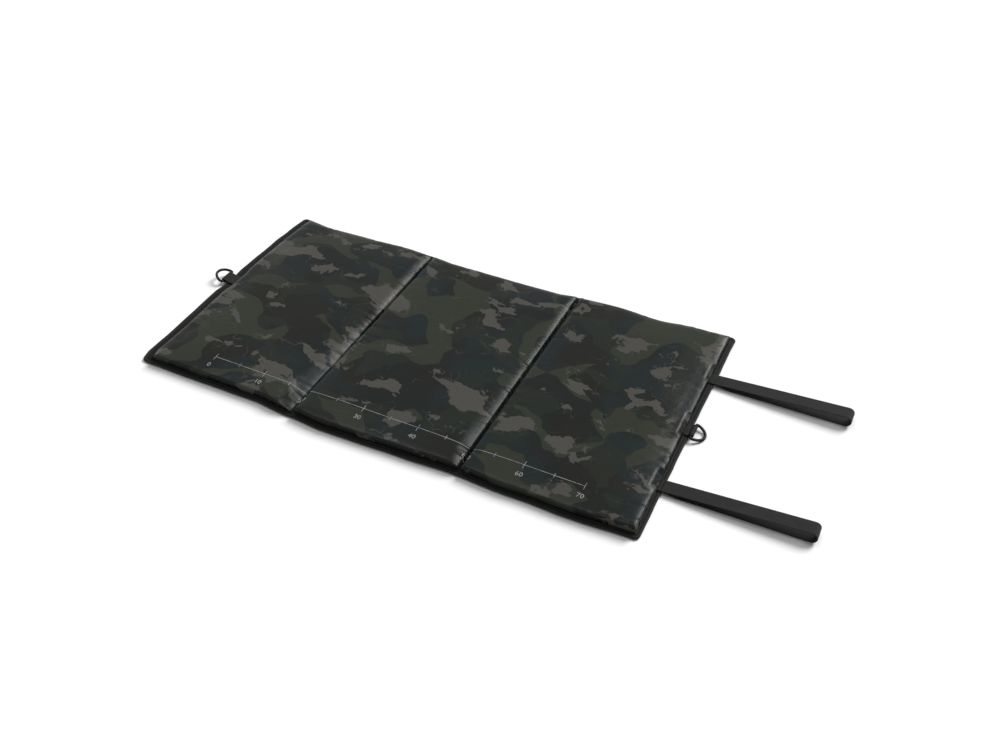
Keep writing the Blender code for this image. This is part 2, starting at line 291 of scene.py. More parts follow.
# How far the sewn edges stray from straight, at places along each edge
FRONT_STRAY = (
    (-0.461, 0.0085), (-0.440, 0.0070), (-0.230, 0.0072), (-0.160, 0.0012), (-0.090, -0.0034),
    (-0.037, -0.0013), (0.050, 0.0013), (0.139, 0.0048), (0.226, 0.0008), (0.267, 0.0022),
    (0.330, 0.0008), (0.443, 0.0055),
)
BACK_STRAY = (
    (-0.461, 0.0030), (-0.381, -0.0048), (-0.290, -0.0024), (-0.212, 0.0015), (-0.155, -0.0012),
    (-0.098, -0.0065), (0.000, -0.0058), (0.110, -0.0040), (0.157, 0.0035), (0.230, 0.0076),
    (0.304, 0.0032), (0.370, 0.0125), (0.443, 0.0150),
)
LEFT_STRAY = (
    (-0.250, -0.0030), (-0.225, -0.0070), (-0.160, -0.0064), (-0.100, -0.0076), (-0.060, -0.0090),
    (-0.030, -0.0093), (0.000, -0.0060), (0.030, -0.0060), (0.050, -0.0076), (0.079, -0.0072),
    (0.156, -0.0048), (0.197, -0.0014), (0.250, 0.0030),
)
RIGHT_STRAY = (
    (-0.250, 0.0022), (-0.200, 0.0018), (-0.150, 0.0012), (-0.100, 0.0006), (-0.060, -0.0003),
    (0.150, -0.0008), (0.186, -0.0016), (0.216, -0.0022), (0.250, -0.0012),
)
STRAY_RUN = 0.160


def drift(points: Points) -> Points:
    """Let the sewn edges stray from straight, as slack cloth does, and the rest follow them.

    Args:
        points: Places on a mat that is cut true.

    Returns:
        The same places on the mat as it lies.
    """
    moved = points.copy()
    x, y = points[:, 0], points[:, 1]
    front = smooth_step(-y, 0, PLAN.half_width)
    back = smooth_step(y, 0, PLAN.half_width)
    moved[:, 1] += ease_between(x, FRONT_STRAY) * front + ease_between(x, BACK_STRAY) * back
    moved[:, 0] += ease_between(y, LEFT_STRAY) * smooth_step(-x, -PLAN.low_x - STRAY_RUN, -PLAN.low_x)
    moved[:, 0] += ease_between(y, RIGHT_STRAY) * smooth_step(x, PLAN.high_x - STRAY_RUN, PLAN.high_x)
    return moved


# Materials


class Nodes:
    """Adds and joins the nodes of one material."""

    def __init__(self, name: str) -> None:
        """Start a material with a Principled shader."""
        self.material = bpy.data.materials.new(name)
        self.material.use_nodes = True
        self.tree = self.material.node_tree
        self.shader = self.tree.nodes["Principled BSDF"]

    def add(self, kind: str, **settings) -> bpy.types.Node:
        """Add a node and set its properties."""
        node = self.tree.nodes.new(kind)
        for name, value in settings.items():
            setattr(node, name, value)
        return node

    def feed(self, socket: bpy.types.NodeSocket, value) -> None:
        """Link a socket, or set it to a constant."""
        if isinstance(value, bpy.types.NodeSocket):
            self.tree.links.new(value, socket)
        elif isinstance(value, tuple) and len(value) == 3 and socket.type == "RGBA":
            socket.default_value = (*value, 1)
        else:
            socket.default_value = value

    def maths(self, operation: str, first, second=0.0) -> bpy.types.NodeSocket:
        """Join two values by arithmetic."""
        node = self.add("ShaderNodeMath", operation=operation)
        self.feed(node.inputs[0], first)
        self.feed(node.inputs[1], second)
        return node.outputs[0]

    def shift(self, vector, offset: tuple[float, float, float]) -> bpy.types.NodeSocket:
        """Move a pattern's coordinates."""
        node = self.add("ShaderNodeVectorMath", operation="ADD")
        self.feed(node.inputs[0], vector)
        self.feed(node.inputs[1], offset)
        return node.outputs[0]

    def stretch(self, vector, scale: tuple[float, float, float], turn: float = 0.0) -> bpy.types.NodeSocket:
        """Scale and turn a pattern's coordinates."""
        node = self.add("ShaderNodeMapping")
        self.feed(node.inputs["Vector"], vector)
        node.inputs["Rotation"].default_value = (0, 0, turn)
        node.inputs["Scale"].default_value = scale
        return node.outputs[0]

    def noise(self, vector, scale: float, detail: float = 2, roughness: float = 0.5) -> bpy.types.Node:
        """Noise node whose coordinates are in metres."""
        node = self.add("ShaderNodeTexNoise")
        self.feed(node.inputs["Vector"], vector)
        node.inputs["Scale"].default_value = scale
        node.inputs["Detail"].default_value = detail
        node.inputs["Roughness"].default_value = roughness
        return node

    def warp(self, vector, scale: float, reach: float, detail: float = 2) -> bpy.types.NodeSocket:
        """Push a pattern's coordinates about by noise.

        Args:
            vector: Coordinates in metres.
            scale: Bends to a metre.
            reach: Furthest push in metres.
            detail: Octaves of the noise.

        Returns:
            The pushed coordinates.
        """
        push = self.add("ShaderNodeVectorMath", operation="MULTIPLY_ADD")
        self.feed(push.inputs[0], self.noise(vector, scale, detail).outputs["Color"])
        push.inputs[1].default_value = (2 * reach,) * 3
        push.inputs[2].default_value = (-reach,) * 3
        total = self.add("ShaderNodeVectorMath", operation="ADD")
        self.feed(total.inputs[0], vector)
        self.feed(total.inputs[1], push.outputs[0])
        return total.outputs[0]

    def step(self, value, low: float, high: float) -> bpy.types.NodeSocket:
        """Ease a value from 0 at low to 1 at high."""
        node = self.add("ShaderNodeMapRange", interpolation_type="SMOOTHSTEP")
        self.feed(node.inputs["Value"], value)
        node.inputs["From Min"].default_value = low
        node.inputs["From Max"].default_value = high
        return node.outputs["Result"]

    def mix(self, share, first, second) -> bpy.types.NodeSocket:
        """Blend two colours."""
        node = self.add("ShaderNodeMix", data_type="RGBA")
        self.feed(node.inputs[0], share)
        self.feed(node.inputs[6], first)
        self.feed(node.inputs[7], second)
        return node.outputs[2]

    def wave(self, vector, axis: str, pitch: float) -> bpy.types.NodeSocket:
        """Ribs of a given pitch across one axis of the coordinates."""
        split = self.add("ShaderNodeSeparateXYZ")
        self.feed(split.inputs[0], vector)
        turns = self.maths("MULTIPLY", split.outputs[axis], 2 * pi / pitch)
        return self.maths("SINE", turns)

    def bump(self, height, strength: float, distance: float, normal=None) -> bpy.types.NodeSocket:
        """Turn a height in pattern units into a normal.

        Args:
            height: Height from 0 to 1.
            strength: Share of the effect.
            distance: Height in metres that 1 stands for.
            normal: Normal from an earlier bump.

        Returns:
            The bumped normal.
        """
        node = self.add("ShaderNodeBump")
        node.inputs["Strength"].default_value = strength
        node.inputs["Distance"].default_value = distance
        self.feed(node.inputs["Height"], height)
        if normal is not None:
            self.feed(node.inputs["Normal"], normal)
        return node.outputs["Normal"]

    def cloth_map(self) -> bpy.types.NodeSocket:
        """Coordinates along and across a strip of cloth, in metres."""
        return self.add("ShaderNodeUVMap", uv_map="cloth_map").outputs["UV"]

    def place(self) -> bpy.types.NodeSocket:
        """Coordinates of the piece at rest, in metres."""
        return self.add("ShaderNodeTexCoord").outputs["Object"]

    def finish(self, colour, roughness, normal) -> bpy.types.Material:
        """Join colour, roughness and normal to the shader."""
        self.feed(self.shader.inputs["Base Color"], colour)
        self.feed(self.shader.inputs["Roughness"], roughness)
        self.feed(self.shader.inputs["Normal"], normal)
        return self.material


@dataclass(frozen=True)
class PrintedCloth:
    """Coated woven cloth with a printed pattern of dark shapes and ragged pale ones."""

    dark: tuple[float, float, float] = (0.0112, 0.0142, 0.0122)
    brown: tuple[float, float, float] = (0.0138, 0.0138, 0.0112)
    slate: tuple[float, float, float] = (0.0122, 0.0176, 0.0185)
    olive: tuple[float, float, float] = (0.0290, 0.0335, 0.0235)
    moss: tuple[float, float, float] = (0.0185, 0.0230, 0.0170)
    stone: tuple[float, float, float] = (0.0700, 0.0680, 0.0600)
    mottled: tuple[float, float, float] = (0.016, 0.017, 0.016)
    weave_pitch: float = 0.0009
    weave_depth: float = 0.000015

    def make(self) -> bpy.types.Material:
        """Build the material.

        Returns:
            Cloth whose pattern follows its map.
        """
        nodes = Nodes("printed_cloth")
        rest = nodes.cloth_map()
        bent = nodes.warp(rest, 8, 0.034)
        ragged = nodes.warp(nodes.warp(bent, 38, 0.010, 3), 150, 0.0028, 3)
        slate = nodes.step(nodes.noise(nodes.shift(bent, (3.1, 1.7, 0)), 7, 2).outputs["Fac"], 0.45, 0.54)
        brown = nodes.step(nodes.noise(nodes.shift(bent, (7.7, 4.2, 0)), 8, 2).outputs["Fac"], 0.50, 0.60)
        moss = nodes.step(nodes.noise(nodes.shift(ragged, (1.3, 8.9, 0)), 11, 2).outputs["Fac"], 0.545, 0.560)
        winding = nodes.shift(nodes.warp(bent, 34, 0.007, 3), (5.5, 2.4, 0))
        course = nodes.maths("ABSOLUTE", nodes.maths("SUBTRACT", nodes.noise(winding, 5.5, 1).outputs["Fac"], 0.5))
        room = nodes.noise(nodes.shift(bent, (4.1, 9.3, 0)), 9, 2).outputs["Fac"]
        width = nodes.maths("MULTIPLY", nodes.maths("SUBTRACT", room, 0.40), 0.36)
        olive = nodes.step(nodes.maths("SUBTRACT", width, course), 0.0, 0.005)
        isles = nodes.stretch(nodes.shift(ragged, (2.3, 6.6, 0)), (1, 1.55, 1), 0.35)
        land = nodes.noise(isles, 12, 4, 0.55).outputs["Fac"]
        stone = nodes.step(land, 0.583, 0.590)
        lines = nodes.noise(nodes.warp(rest, 26, 0.016, 3), 17, 2).outputs["Fac"]
        thread = nodes.step(nodes.maths("ABSOLUTE", nodes.maths("SUBTRACT", lines, 0.5)), 0.0075, 0.0020)
        near = nodes.step(land, 0.47, 0.56)
        thread = nodes.maths("MULTIPLY", nodes.maths("MULTIPLY", thread, near), 0.65)
        colour = nodes.mix(slate, self.dark, self.slate)
        colour = nodes.mix(nodes.maths("MULTIPLY", brown, 0.9), colour, self.brown)
        colour = nodes.mix(nodes.maths("MULTIPLY", moss, 0.6), colour, self.moss)
        colour = nodes.mix(olive, colour, self.olive)
        colour = nodes.mix(thread, colour, self.stone)
        colour = nodes.mix(stone, colour, self.stone)
        mottle = nodes.noise(rest, 160, 3, 0.6).outputs["Fac"]
        colour = nodes.mix(nodes.maths("MULTIPLY", mottle, 0.14), colour, self.mottled)
        across = nodes.wave(rest, "X", self.weave_pitch)
        along = nodes.wave(rest, "Y", self.weave_pitch)
        weave = nodes.maths("MULTIPLY", across, along)
        crinkle = nodes.noise(nodes.warp(rest, 30, 0.01), 70, 3, 0.55).outputs["Fac"]
        soft = nodes.bump(crinkle, 1, 0.0003)
        normal = nodes.bump(weave, 1, self.weave_depth, soft)
        rough = nodes.maths("ADD", 0.18, nodes.maths("MULTIPLY", nodes.noise(rest, 14, 3).outputs["Fac"], 0.10))
        nodes.shader.inputs["Specular IOR Level"].default_value = 0.09
        return nodes.finish(colour, rough, normal)


@dataclass(frozen=True)
class WovenBand:
    """Ribbed woven tape or webbing, whose ribs cross its width.

    From a set place across its map the band is darkened towards the pad: painted shade, standing for the shade beside
    the pad's wall.
    """

    name: str
    colour: tuple[float, float, float]
    worn: tuple[float, float, float]
    rib_pitch: float
    rib_depth: float
    roughness: float
    tucked_from: float = 1.0
    # Colour of the painted shade on the band's inner strip
    shadow: tuple[float, float, float] = (0.0015, 0.0016, 0.0015)

    def make(self) -> bpy.types.Material:
        """Build the material.

        Returns:
            Band whose ribs follow its map.
        """
        nodes = Nodes(self.name)
        rest = nodes.cloth_map()
        uneven = nodes.warp(rest, 220, self.rib_pitch / 7, 1)
        ribs = nodes.wave(uneven, "X", self.rib_pitch)
        yarns = nodes.wave(uneven, "Y", self.rib_pitch * 0.8)
        twill = nodes.wave(nodes.stretch(uneven, (1, 1, 1), radians(45)), "X", self.rib_pitch * 1.4)
        height = nodes.maths("ADD", nodes.maths("MULTIPLY", ribs, yarns), nodes.maths("MULTIPLY", twill, 0.5))
        normal = nodes.bump(nodes.noise(rest, 90, 2).outputs["Fac"], 1, 0.0004)
        normal = nodes.bump(height, 1, self.rib_depth, normal)
        fade = nodes.step(nodes.noise(rest, 24, 4, 0.6).outputs["Fac"], 0.40, 0.75)
        fuzz = nodes.maths("MULTIPLY", nodes.step(height, -0.2, 1.4), 0.55)
        colour = nodes.mix(nodes.maths("MAXIMUM", nodes.maths("MULTIPLY", fade, 0.6), fuzz), self.colour, self.worn)
        split = nodes.add("ShaderNodeSeparateXYZ")
        nodes.feed(split.inputs[0], uneven)
        # Painted shade: the band's inner strip, next to the pad, is darkened as if the pad shaded it.
        painted_shade = nodes.step(split.outputs["Y"], self.tucked_from, self.tucked_from + 0.0012)
        colour = nodes.mix(nodes.maths("MULTIPLY", painted_shade, 0.85), colour, self.shadow)
        rough = nodes.maths("ADD", self.roughness, nodes.maths("MULTIPLY", fade, 0.10))
        nodes.shader.inputs["Specular IOR Level"].default_value = 0.14
        return nodes.finish(colour, rough, normal)


@dataclass(frozen=True)
class BackingCloth:
    """Plain coated cloth of the underside."""

    colour: tuple[float, float, float] = (0.0100, 0.0110, 0.0108)
    dust: tuple[float, float, float] = (0.0260, 0.0255, 0.0235)
    weave_pitch: float = 0.0011

    def make(self) -> bpy.types.Material:
        """Build the material.

        Returns:
            Cloth whose weave follows its map.
        """
        nodes = Nodes("backing_cloth")
        rest = nodes.cloth_map()
        weave = nodes.maths(
            "MULTIPLY", nodes.wave(rest, "X", self.weave_pitch), nodes.wave(rest, "Y", self.weave_pitch)
        )
        normal = nodes.bump(nodes.noise(nodes.warp(rest, 20, 0.012), 48, 4, 0.55).outputs["Fac"], 1, 0.0010)
        normal = nodes.bump(weave, 1, 0.00009, normal)
        dust = nodes.step(nodes.noise(rest, 17, 5, 0.62).outputs["Fac"], 0.50, 0.78)
        colour = nodes.mix(nodes.maths("MULTIPLY", dust, 0.5), self.colour, self.dust)
        rough = nodes.maths("ADD", 0.46, nodes.maths("MULTIPLY", dust, 0.2))
        nodes.shader.inputs["Specular IOR Level"].default_value = 0.18
        return nodes.finish(colour, rough, normal)


@dataclass(frozen=True)
class SewingThread:
    """Twisted dark thread, with a painted highlight along each turn of its twist."""

    colour: tuple[float, float, float] = (0.022, 0.024, 0.022)
    lit: tuple[float, float, float] = (0.055, 0.058, 0.054)

    def make(self) -> bpy.types.Material:
        """Build the material.

        Returns:
            Thread with a fine twist, lighter along each turn: painted highlight.
        """
        nodes = Nodes("sewing_thread")
        rest = nodes.place()
        twist = nodes.wave(nodes.stretch(rest, (1, 1, 1), radians(35)), "X", 0.0007)
        # Painted highlight: each turn of the twist is mixed towards a lighter colour.
        colour = nodes.mix(nodes.step(twist, -0.6, 1.0), self.colour, self.lit)
        nodes.shader.inputs["Specular IOR Level"].default_value = 0.12
        return nodes.finish(colour, 0.5, nodes.bump(twist, 1, 0.00008))


@dataclass(frozen=True)
class ScaleInk:
    """Pale screen-printed ink, a little worn."""

    fresh: tuple[float, float, float] = (0.33, 0.35, 0.35)
    worn: tuple[float, float, float] = (0.12, 0.13, 0.13)

    def make(self) -> bpy.types.Material:
        """Build the material.

        Returns:
            Ink that thins over the weave.
        """
        nodes = Nodes("scale_ink")
        rest = nodes.place()
        thin = nodes.noise(rest, 900, 3, 0.6).outputs["Fac"]
        patches = nodes.noise(rest, 60, 2).outputs["Fac"]
        worn = nodes.step(nodes.maths("ADD", thin, nodes.maths("MULTIPLY", patches, 0.6)), 0.72, 1.0)
        colour = nodes.mix(worn, self.fresh, self.worn)
        nodes.shader.inputs["Specular IOR Level"].default_value = 0.18
        return nodes.finish(colour, 0.55, nodes.bump(thin, 1, 0.00004))


@dataclass(frozen=True)
class BlackedWire:
    """Bent steel wire with a dark plated finish."""

    colour: tuple[float, float, float] = (0.020, 0.021, 0.021)
    rubbed: tuple[float, float, float] = (0.10, 0.105, 0.105)

    def make(self) -> bpy.types.Material:
        """Build the material.

        Returns:
            Metal with rubbed patches and fine drawing lines.
        """
        nodes = Nodes("blacked_wire")
        rest = nodes.place()
        rub = nodes.step(nodes.noise(rest, 210, 4, 0.6).outputs["Fac"], 0.52, 0.72)
        colour = nodes.mix(nodes.maths("MULTIPLY", rub, 0.35), self.colour, self.rubbed)
        rough = nodes.maths("ADD", 0.34, nodes.maths("MULTIPLY", nodes.noise(rest, 520, 3).outputs["Fac"], 0.2))
        nodes.shader.inputs["Metallic"].default_value = 1.0
        nodes.shader.inputs["Specular Tint"].default_value = (0.06, 0.06, 0.06, 1)
        normal = nodes.bump(nodes.noise(nodes.stretch(rest, (1, 0.12, 1)), 2600, 2).outputs["Fac"], 0.5, 0.00003)
        return nodes.finish(colour, rough, normal)


@dataclass
class Finishes:
    """Every finish of the mat, made once."""

    printed: bpy.types.Material
    backing: bpy.types.Material
    tape: bpy.types.Material
    webbing: bpy.types.Material
    thread: bpy.types.Material
    ink: bpy.types.Material
    metal: bpy.types.Material

    @classmethod
    def make(cls) -> "Finishes":
        """Build all the materials.

        Returns:
            The set of finishes.
        """
        # The tape's inner strip, past 0.0248 m across its map, gets painted shade.
        tape = WovenBand(
            "binding_tape", (0.0120, 0.0138, 0.0118), (0.031, 0.034, 0.030), 0.0011, 0.00012, 0.62, tucked_from=0.0248
        )
        webbing = WovenBand("strap_webbing", (0.0125, 0.0140, 0.0125), (0.032, 0.034, 0.031), 0.0016, 0.00022, 0.55)
        return cls(
            PrintedCloth().make(),
            BackingCloth().make(),
            tape.make(),
            webbing.make(),
            SewingThread().make(),
            ScaleInk().make(),
            BlackedWire().make(),
        )


def dress(piece: bpy.types.Object, material: bpy.types.Material) -> bpy.types.Object:
    """Give a piece its finish."""
    piece.data.materials.clear()
    piece.data.materials.append(material)
    return piece


@dataclass(frozen=True)
class Fold:
    """A fold seam and the two bodies that it joins."""

    name: str
    x: float
    low_body: Body
    high_body: Body

    def bend(self, piece: bpy.types.Object, reach: float) -> None:
        """Bake a piece's place into its mesh; nothing here makes it bend over the fold.

        Args:
            piece: Finished mesh that crosses the fold.
            reach: Not used.
        """
        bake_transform(piece)


FOLDS = (
    Fold("left", PLAN.left_seam, Body.LEFT, Body.MIDDLE),
    Fold("right", PLAN.right_seam, Body.MIDDLE, Body.RIGHT),
)


class Stitcher:
    """Sews rows of separate stitches, all copies of one modelled stitch."""

    def __init__(self, material: bpy.types.Material, length: float = 0.0031, width: float = 0.0006) -> None:
        """Model the one stitch that every row repeats.

        Args:
            material: Thread finish.
            length: Length of a stitch.
            width: Thickness of the thread.
        """
        self.material = material
        deselect_all()
        bpy.ops.mesh.primitive_uv_sphere_add(segments=8, ring_count=5, radius=0.5)
        stitch = bpy.context.active_object
        bpy.ops.object.mode_set(mode="EDIT")
        bpy.ops.mesh.select_all(action="SELECT")
        bpy.ops.transform.resize(value=(width, width * 0.75, length))
        bpy.ops.object.mode_set(mode="OBJECT")
        points = read_points(stitch.data)
        bulge = np.abs(points[:, 2] / (length / 2))
        points[:, :2] *= (1 + 0.25 * (1 - bulge))[:, None]
        self.points = points[:, [2, 0, 1]]
        self.faces = [list(face.vertices) for face in stitch.data.polygons]
        bpy.data.objects.remove(stitch)

    def sew(self, name: str, places: list[tuple[Vector, Vector, Vector]]) -> bpy.types.Object:
        """Lay a row of stitches.

        Args:
            name: Name of the row.
            places: Middle, direction and outward normal of each stitch.

        Returns:
            The row as one piece.
        """
        points = []
        faces = []
        for middle, along, outward in places:
            along = along.normalized()
            side = outward.cross(along).normalized()
            turn = np.array((along, side, along.cross(side)))
            base = len(points) * len(self.points)
            points.append(self.points @ turn + np.array(middle))
            faces.extend([[index + base for index in face] for face in self.faces])
        mesh = bpy.data.meshes.new(name)
        mesh.from_pydata(np.concatenate(points).tolist(), [], faces)
        row = bpy.data.objects.new(name, mesh)
        bpy.context.collection.objects.link(row)
        face_outwards(row)
        shade(row, 60)
        return dress(row, self.material)


@dataclass(frozen=True)
class PadEdge:
    """How the cloth comes down along one side of a padded panel, and how it puckers there.

    inset is the side's distance from the rim or from the middle of the seam, and its foot lies
    further in by lean. The shoulder falls by fall over run. Towards the front both grow by the
    share swell, and the side reaches out by flare. Creases lie spacing apart and have lengths
    within reach.
    """

    inset: float
    lean: float
    run: float
    fall: float
    swell: float
    flare: float
    spacing: float
    reach: tuple[float, float]
    depth: float


SEAM_DOMED = PadEdge(SEAM_GAP, 0.0, 0.022, 0.0080, 0.75, 0.0, 0.0170, (0.010, 0.045), 0.0012)
SEAM_HIGH = PadEdge(SEAM_GAP, 0.0, 0.015, 0.0040, 0.5, 0.0, 0.0170, (0.010, 0.045), 0.0012)
SEAM_LOW = PadEdge(SEAM_GAP, 0.0, 0.012, 0.0036, 0.0, 0.0, 0.0170, (0.010, 0.040), 0.0008)
LEFT_END = PadEdge(0.0245, -0.0130, 0.010, 0.0028, 0.0, 0.0, 0.0180, (0.008, 0.030), 0.0008)
RIGHT_END = PadEdge(0.0100, 0.0, 0.006, 0.0014, 0.6, 0.0040, 0.0160, (0.012, 0.050), 0.0010)
FRONT_EDGE = PadEdge(0.0050, 0.0030, 0.008, 0.0018, 0.0, 0.0, 0.0220, (0.006, 0.020), 0.0006)
BACK_EDGE = PadEdge(0.0145, 0.0, 0.010, 0.0018, 0.0, 0.0, 0.0220, (0.006, 0.022), 0.0006)

# Middle and half width, along the right end, of each place where webbing or a ring folds back
RIGHT_HOLLOWS = ((-0.1300, 0.0140), (0.0025, 0.0200), (0.1405, 0.0140))


@dataclass
class PaddedPanel:
    """One stuffed panel: cloth drawn over a foam slab and sewn down all round."""

    name: str
    body: Body
    low: PadEdge
    high: PadEdge
    seed: int
    front: PadEdge = FRONT_EDGE
    back: PadEdge = BACK_EDGE
    foot: float = 0.0018
    top: float = 0.0200
    crown: float = 0.0222
    highest: float = 0.0245
    upright_radius: float = 0.0035
    edge_radius: float = 0.0016
    rounded: float = 0.0055
    sharpness: float = 0.78
    crown_run: float = 0.070
    voxel: float = 0.0040
    side_cap: float = 0.0007
    top_cap: float = 0.0011
    front_growth: tuple[float, float] = (-0.06, 0.22)
    crisp_pull: float = 0.6
    crisp_reach: float = 0.004
    crisp_run: float = 0.020
    hollows: tuple[tuple[float, float], ...] = ()
    hollow_start: float = 0.0140
    hollow_height: float = 0.0198
    hollow_slope: float = 0.88
    hollow_flank: float = 0.0100
    hollow_crest: float = 0.0215
    hollow_least: float = 0.2

    def build(self, material: bpy.types.Material) -> bpy.types.Object:
        """Model, inflate, pucker and dress the panel.

        Args:
            material: Printed cloth.

        Returns:
            The padded piece.
        """
        pad = self.slab()
        self.shape(pad)
        self.inflate(pad)
        self.fit(pad)
        apply_modifier(pad, "SUBSURF", levels=1, render_levels=1)
        self.crisp(pad)
        self.make_room(pad)
        self.pucker(pad)
        self.lay_map(pad)
        write_points(pad.data, drift(read_points(pad.data)))
        shade(pad, 80)
        dress(pad, material)
        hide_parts(f"top_cover_{self.name}", f"foam_pad_{self.name}")
        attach(pad, self.body.value)
        LOG.info("padded panel %s: %d faces", self.name, len(pad.data.polygons))
        return pad

    def limits(self) -> tuple[float, float, float, float]:
        """Lowest and highest X and Y of the pad before it swells."""
        edges = {
            Body.LEFT: (PLAN.low_x, PLAN.left_seam),
            Body.MIDDLE: (PLAN.left_seam, PLAN.right_seam),
            Body.RIGHT: (PLAN.right_seam, PLAN.high_x),
        }
        low, high = edges[self.body]
        swell = self.side_cap
        return (
            low + self.low.inset + swell,
            high - self.high.inset - swell,
            -PLAN.half_width + self.front.inset + swell,
            PLAN.half_width - self.back.inset - swell,
        )

    def slab(self) -> bpy.types.Object:
        """Cut a slab with rounded edges and remesh it evenly.

        Returns:
            The slab.
        """
        low_x, high_x, low_y, high_y = self.limits()
        deselect_all()
        bpy.ops.mesh.primitive_cube_add(size=1, location=(0, 0, 0))
        pad = bpy.context.active_object
        pad.name = f"panel_{self.name}"
        pad.data.name = pad.name
        bpy.ops.object.mode_set(mode="EDIT")
        bpy.ops.mesh.select_all(action="SELECT")
        bpy.ops.transform.resize(value=(high_x - low_x, high_y - low_y, self.top - self.foot))
        middle = ((low_x + high_x) / 2, (low_y + high_y) / 2, (self.foot + self.top) / 2)
        bpy.ops.transform.translate(value=middle)
        self.bevel(pad, self.upright_radius, lambda low, high: abs(high.z - low.z) > 0.001)
        self.bevel(pad, self.edge_radius, lambda low, high: min(low.z, high.z) > self.top - 0.0001)
        bpy.ops.object.mode_set(mode="OBJECT")
        apply_modifier(pad, "REMESH", mode="VOXEL", voxel_size=self.voxel)
        return pad

    def bevel(self, pad: bpy.types.Object, radius: float, wanted: Callable[[Vector, Vector], bool]) -> None:
        """Round the edges that pass a test on their two ends."""
        mesh = bmesh.from_edit_mesh(pad.data)
        bpy.ops.mesh.select_all(action="DESELECT")
        for edge in mesh.edges:
            outer = len(edge.link_faces) == 2 and edge.calc_face_angle(0) > 0.3
            edge.select_set(outer and wanted(edge.verts[0].co, edge.verts[1].co))
        bmesh.update_edit_mesh(pad.data)
        bpy.ops.mesh.bevel(offset=radius, segments=4, affect="EDGES")

    def insets(self, points: Points) -> tuple[tuple[int, int, PadEdge, Points], ...]:
        """Distances in from the four sides.

        Args:
            points: Places on the pad.

        Returns:
            Axis, inward sign, edge and distances of each side.
        """
        low_x, high_x, low_y, high_y = self.limits()
        return (
            (0, 1, self.low, points[:, 0] - low_x),
            (0, -1, self.high, high_x - points[:, 0]),
            (1, 1, self.front, points[:, 1] - low_y),
            (1, -1, self.back, high_y - points[:, 1]),
        )

    def draw_together(self, depth: Points, run: float) -> Points:
        """How far to pull back from a side, so that the remeshed edges come out less round.

        Args:
            depth: Distances in from a side.
            run: Distance at which the pull ends.

        Returns:
            Pull towards the side.
        """
        rounded = np.clip(depth / self.rounded, 0, 1)
        return self.sharpness * self.rounded * rounded * (1 - smooth_step(depth, self.rounded, run))

    def shape(self, pad: bpy.types.Object) -> None:
        """Sharpen the edges, drop the shoulders, lean the sides and crown the middle."""
        points = read_points(pad.data)
        for axis, inward, _, inset in self.insets(points):
            points[:, axis] -= inward * self.draw_together(inset, 0.035)
        points[:, 2] += self.draw_together(self.top - points[:, 2], 0.014)
        height = np.clip((points[:, 2] - self.foot) / (self.top - self.foot), 0, 1)
        drop = np.zeros(len(points))
        inner = np.ones(len(points))
        near_front = smooth_step(-points[:, 1], *self.front_growth)
        for axis, inward, edge, inset in self.insets(points):
            growth = 1 + edge.swell * near_front
            share = 1 - np.clip(inset / (edge.run * growth), 0, 1)
            drop = np.maximum(drop, edge.fall * growth ** 0.85 * share ** (1.4 + 0.6 / growth))
            inner *= smooth_step(inset, 0, self.crown_run)
            points[:, axis] -= inward * edge.flare * near_front * (1 - smooth_step(inset, 0, 0.05))
            points[:, axis] += inward * edge.lean * (1 - height) * (1 - smooth_step(inset, 0, 0.012))
        points[:, 2] += ((self.crown - self.top) * inner - drop) * height
        write_points(pad.data, points)

    def crisp(self, pad: bpy.types.Object) -> None:
        """Sharpen the upper edges once more, on the finer mesh."""
        points = read_points(pad.data)
        low = points.min(0)
        high = points.max(0)
        upper = smooth_step(points[:, 2], 0.006, 0.010)
        sides = ((0, low[0], 1, self.low), (0, high[0], -1, self.high), (1, low[1], 1, self.front))
        for axis, side, inward, edge in sides:
            if edge.lean >= 0:
                inset = (points[:, axis] - side) * inward
                fade = 1 - smooth_step(inset, self.crisp_reach, self.crisp_run)
                pull = self.crisp_pull * np.clip(inset, 0, self.crisp_reach) * fade
                points[:, axis] -= inward * pull * upper
        write_points(pad.data, points)

    def make_room(self, pad: bpy.types.Object) -> None:
        """Press the right edge down where sewn-on webbing and the ring fold back over it."""
        points = read_points(pad.data)
        laid = drift(points.copy())
        past = laid[:, 0] - (PLAN.high_x - self.hollow_start)
        ceiling = self.hollow_height - self.hollow_slope * past
        share = np.clip((ceiling - self.foot) / (self.hollow_crest - self.foot), self.hollow_least, 1)
        for middle, half_width in self.hollows:
            away = smooth_step(np.abs(laid[:, 1] - middle), half_width, half_width + self.hollow_flank)
            points[:, 2] = self.foot + (points[:, 2] - self.foot) * (share + (1 - share) * away)
        write_points(pad.data, points)

    def inflate(self, pad: bpy.types.Object) -> None:
        """Blow the cloth up over its sewn foot and cap how far it moves."""
        start = read_points(pad.data)
        sewn = pad.vertex_groups.new(name="sewn")
        held = np.nonzero(start[:, 2] < self.foot + 0.0012)[0]
        sewn.add(held.tolist(), 1.0, "REPLACE")
        cloth = pad.modifiers.new("Cloth", "CLOTH")
        settings = cloth.settings
        settings.quality = 6
        settings.mass = 0.3
        settings.vertex_group_mass = "sewn"
        settings.use_pressure = True
        settings.uniform_pressure_force = 4
        settings.shrink_min = -0.008
        settings.effector_weights.gravity = 0
        cloth.point_cache.frame_start = 1
        cloth.point_cache.frame_end = 20
        for step in range(1, 21):
            bpy.context.scene.frame_set(step)
        pick(pad)
        bpy.ops.object.modifier_apply(modifier="Cloth")
        bpy.context.scene.frame_set(1)
        pad.vertex_groups.clear()
        moved = read_points(pad.data) - start
        nearest = np.min([inset for _, _, _, inset in self.insets(start)], axis=0)
        cap = self.side_cap + (self.top_cap - self.side_cap) * smooth_step(nearest, 0.004, 0.030)
        length = np.linalg.norm(moved, axis=1)
        capped = cap * np.tanh(length / cap)
        write_points(pad.data, start + moved * (capped / np.maximum(length, 1e-9))[:, None])

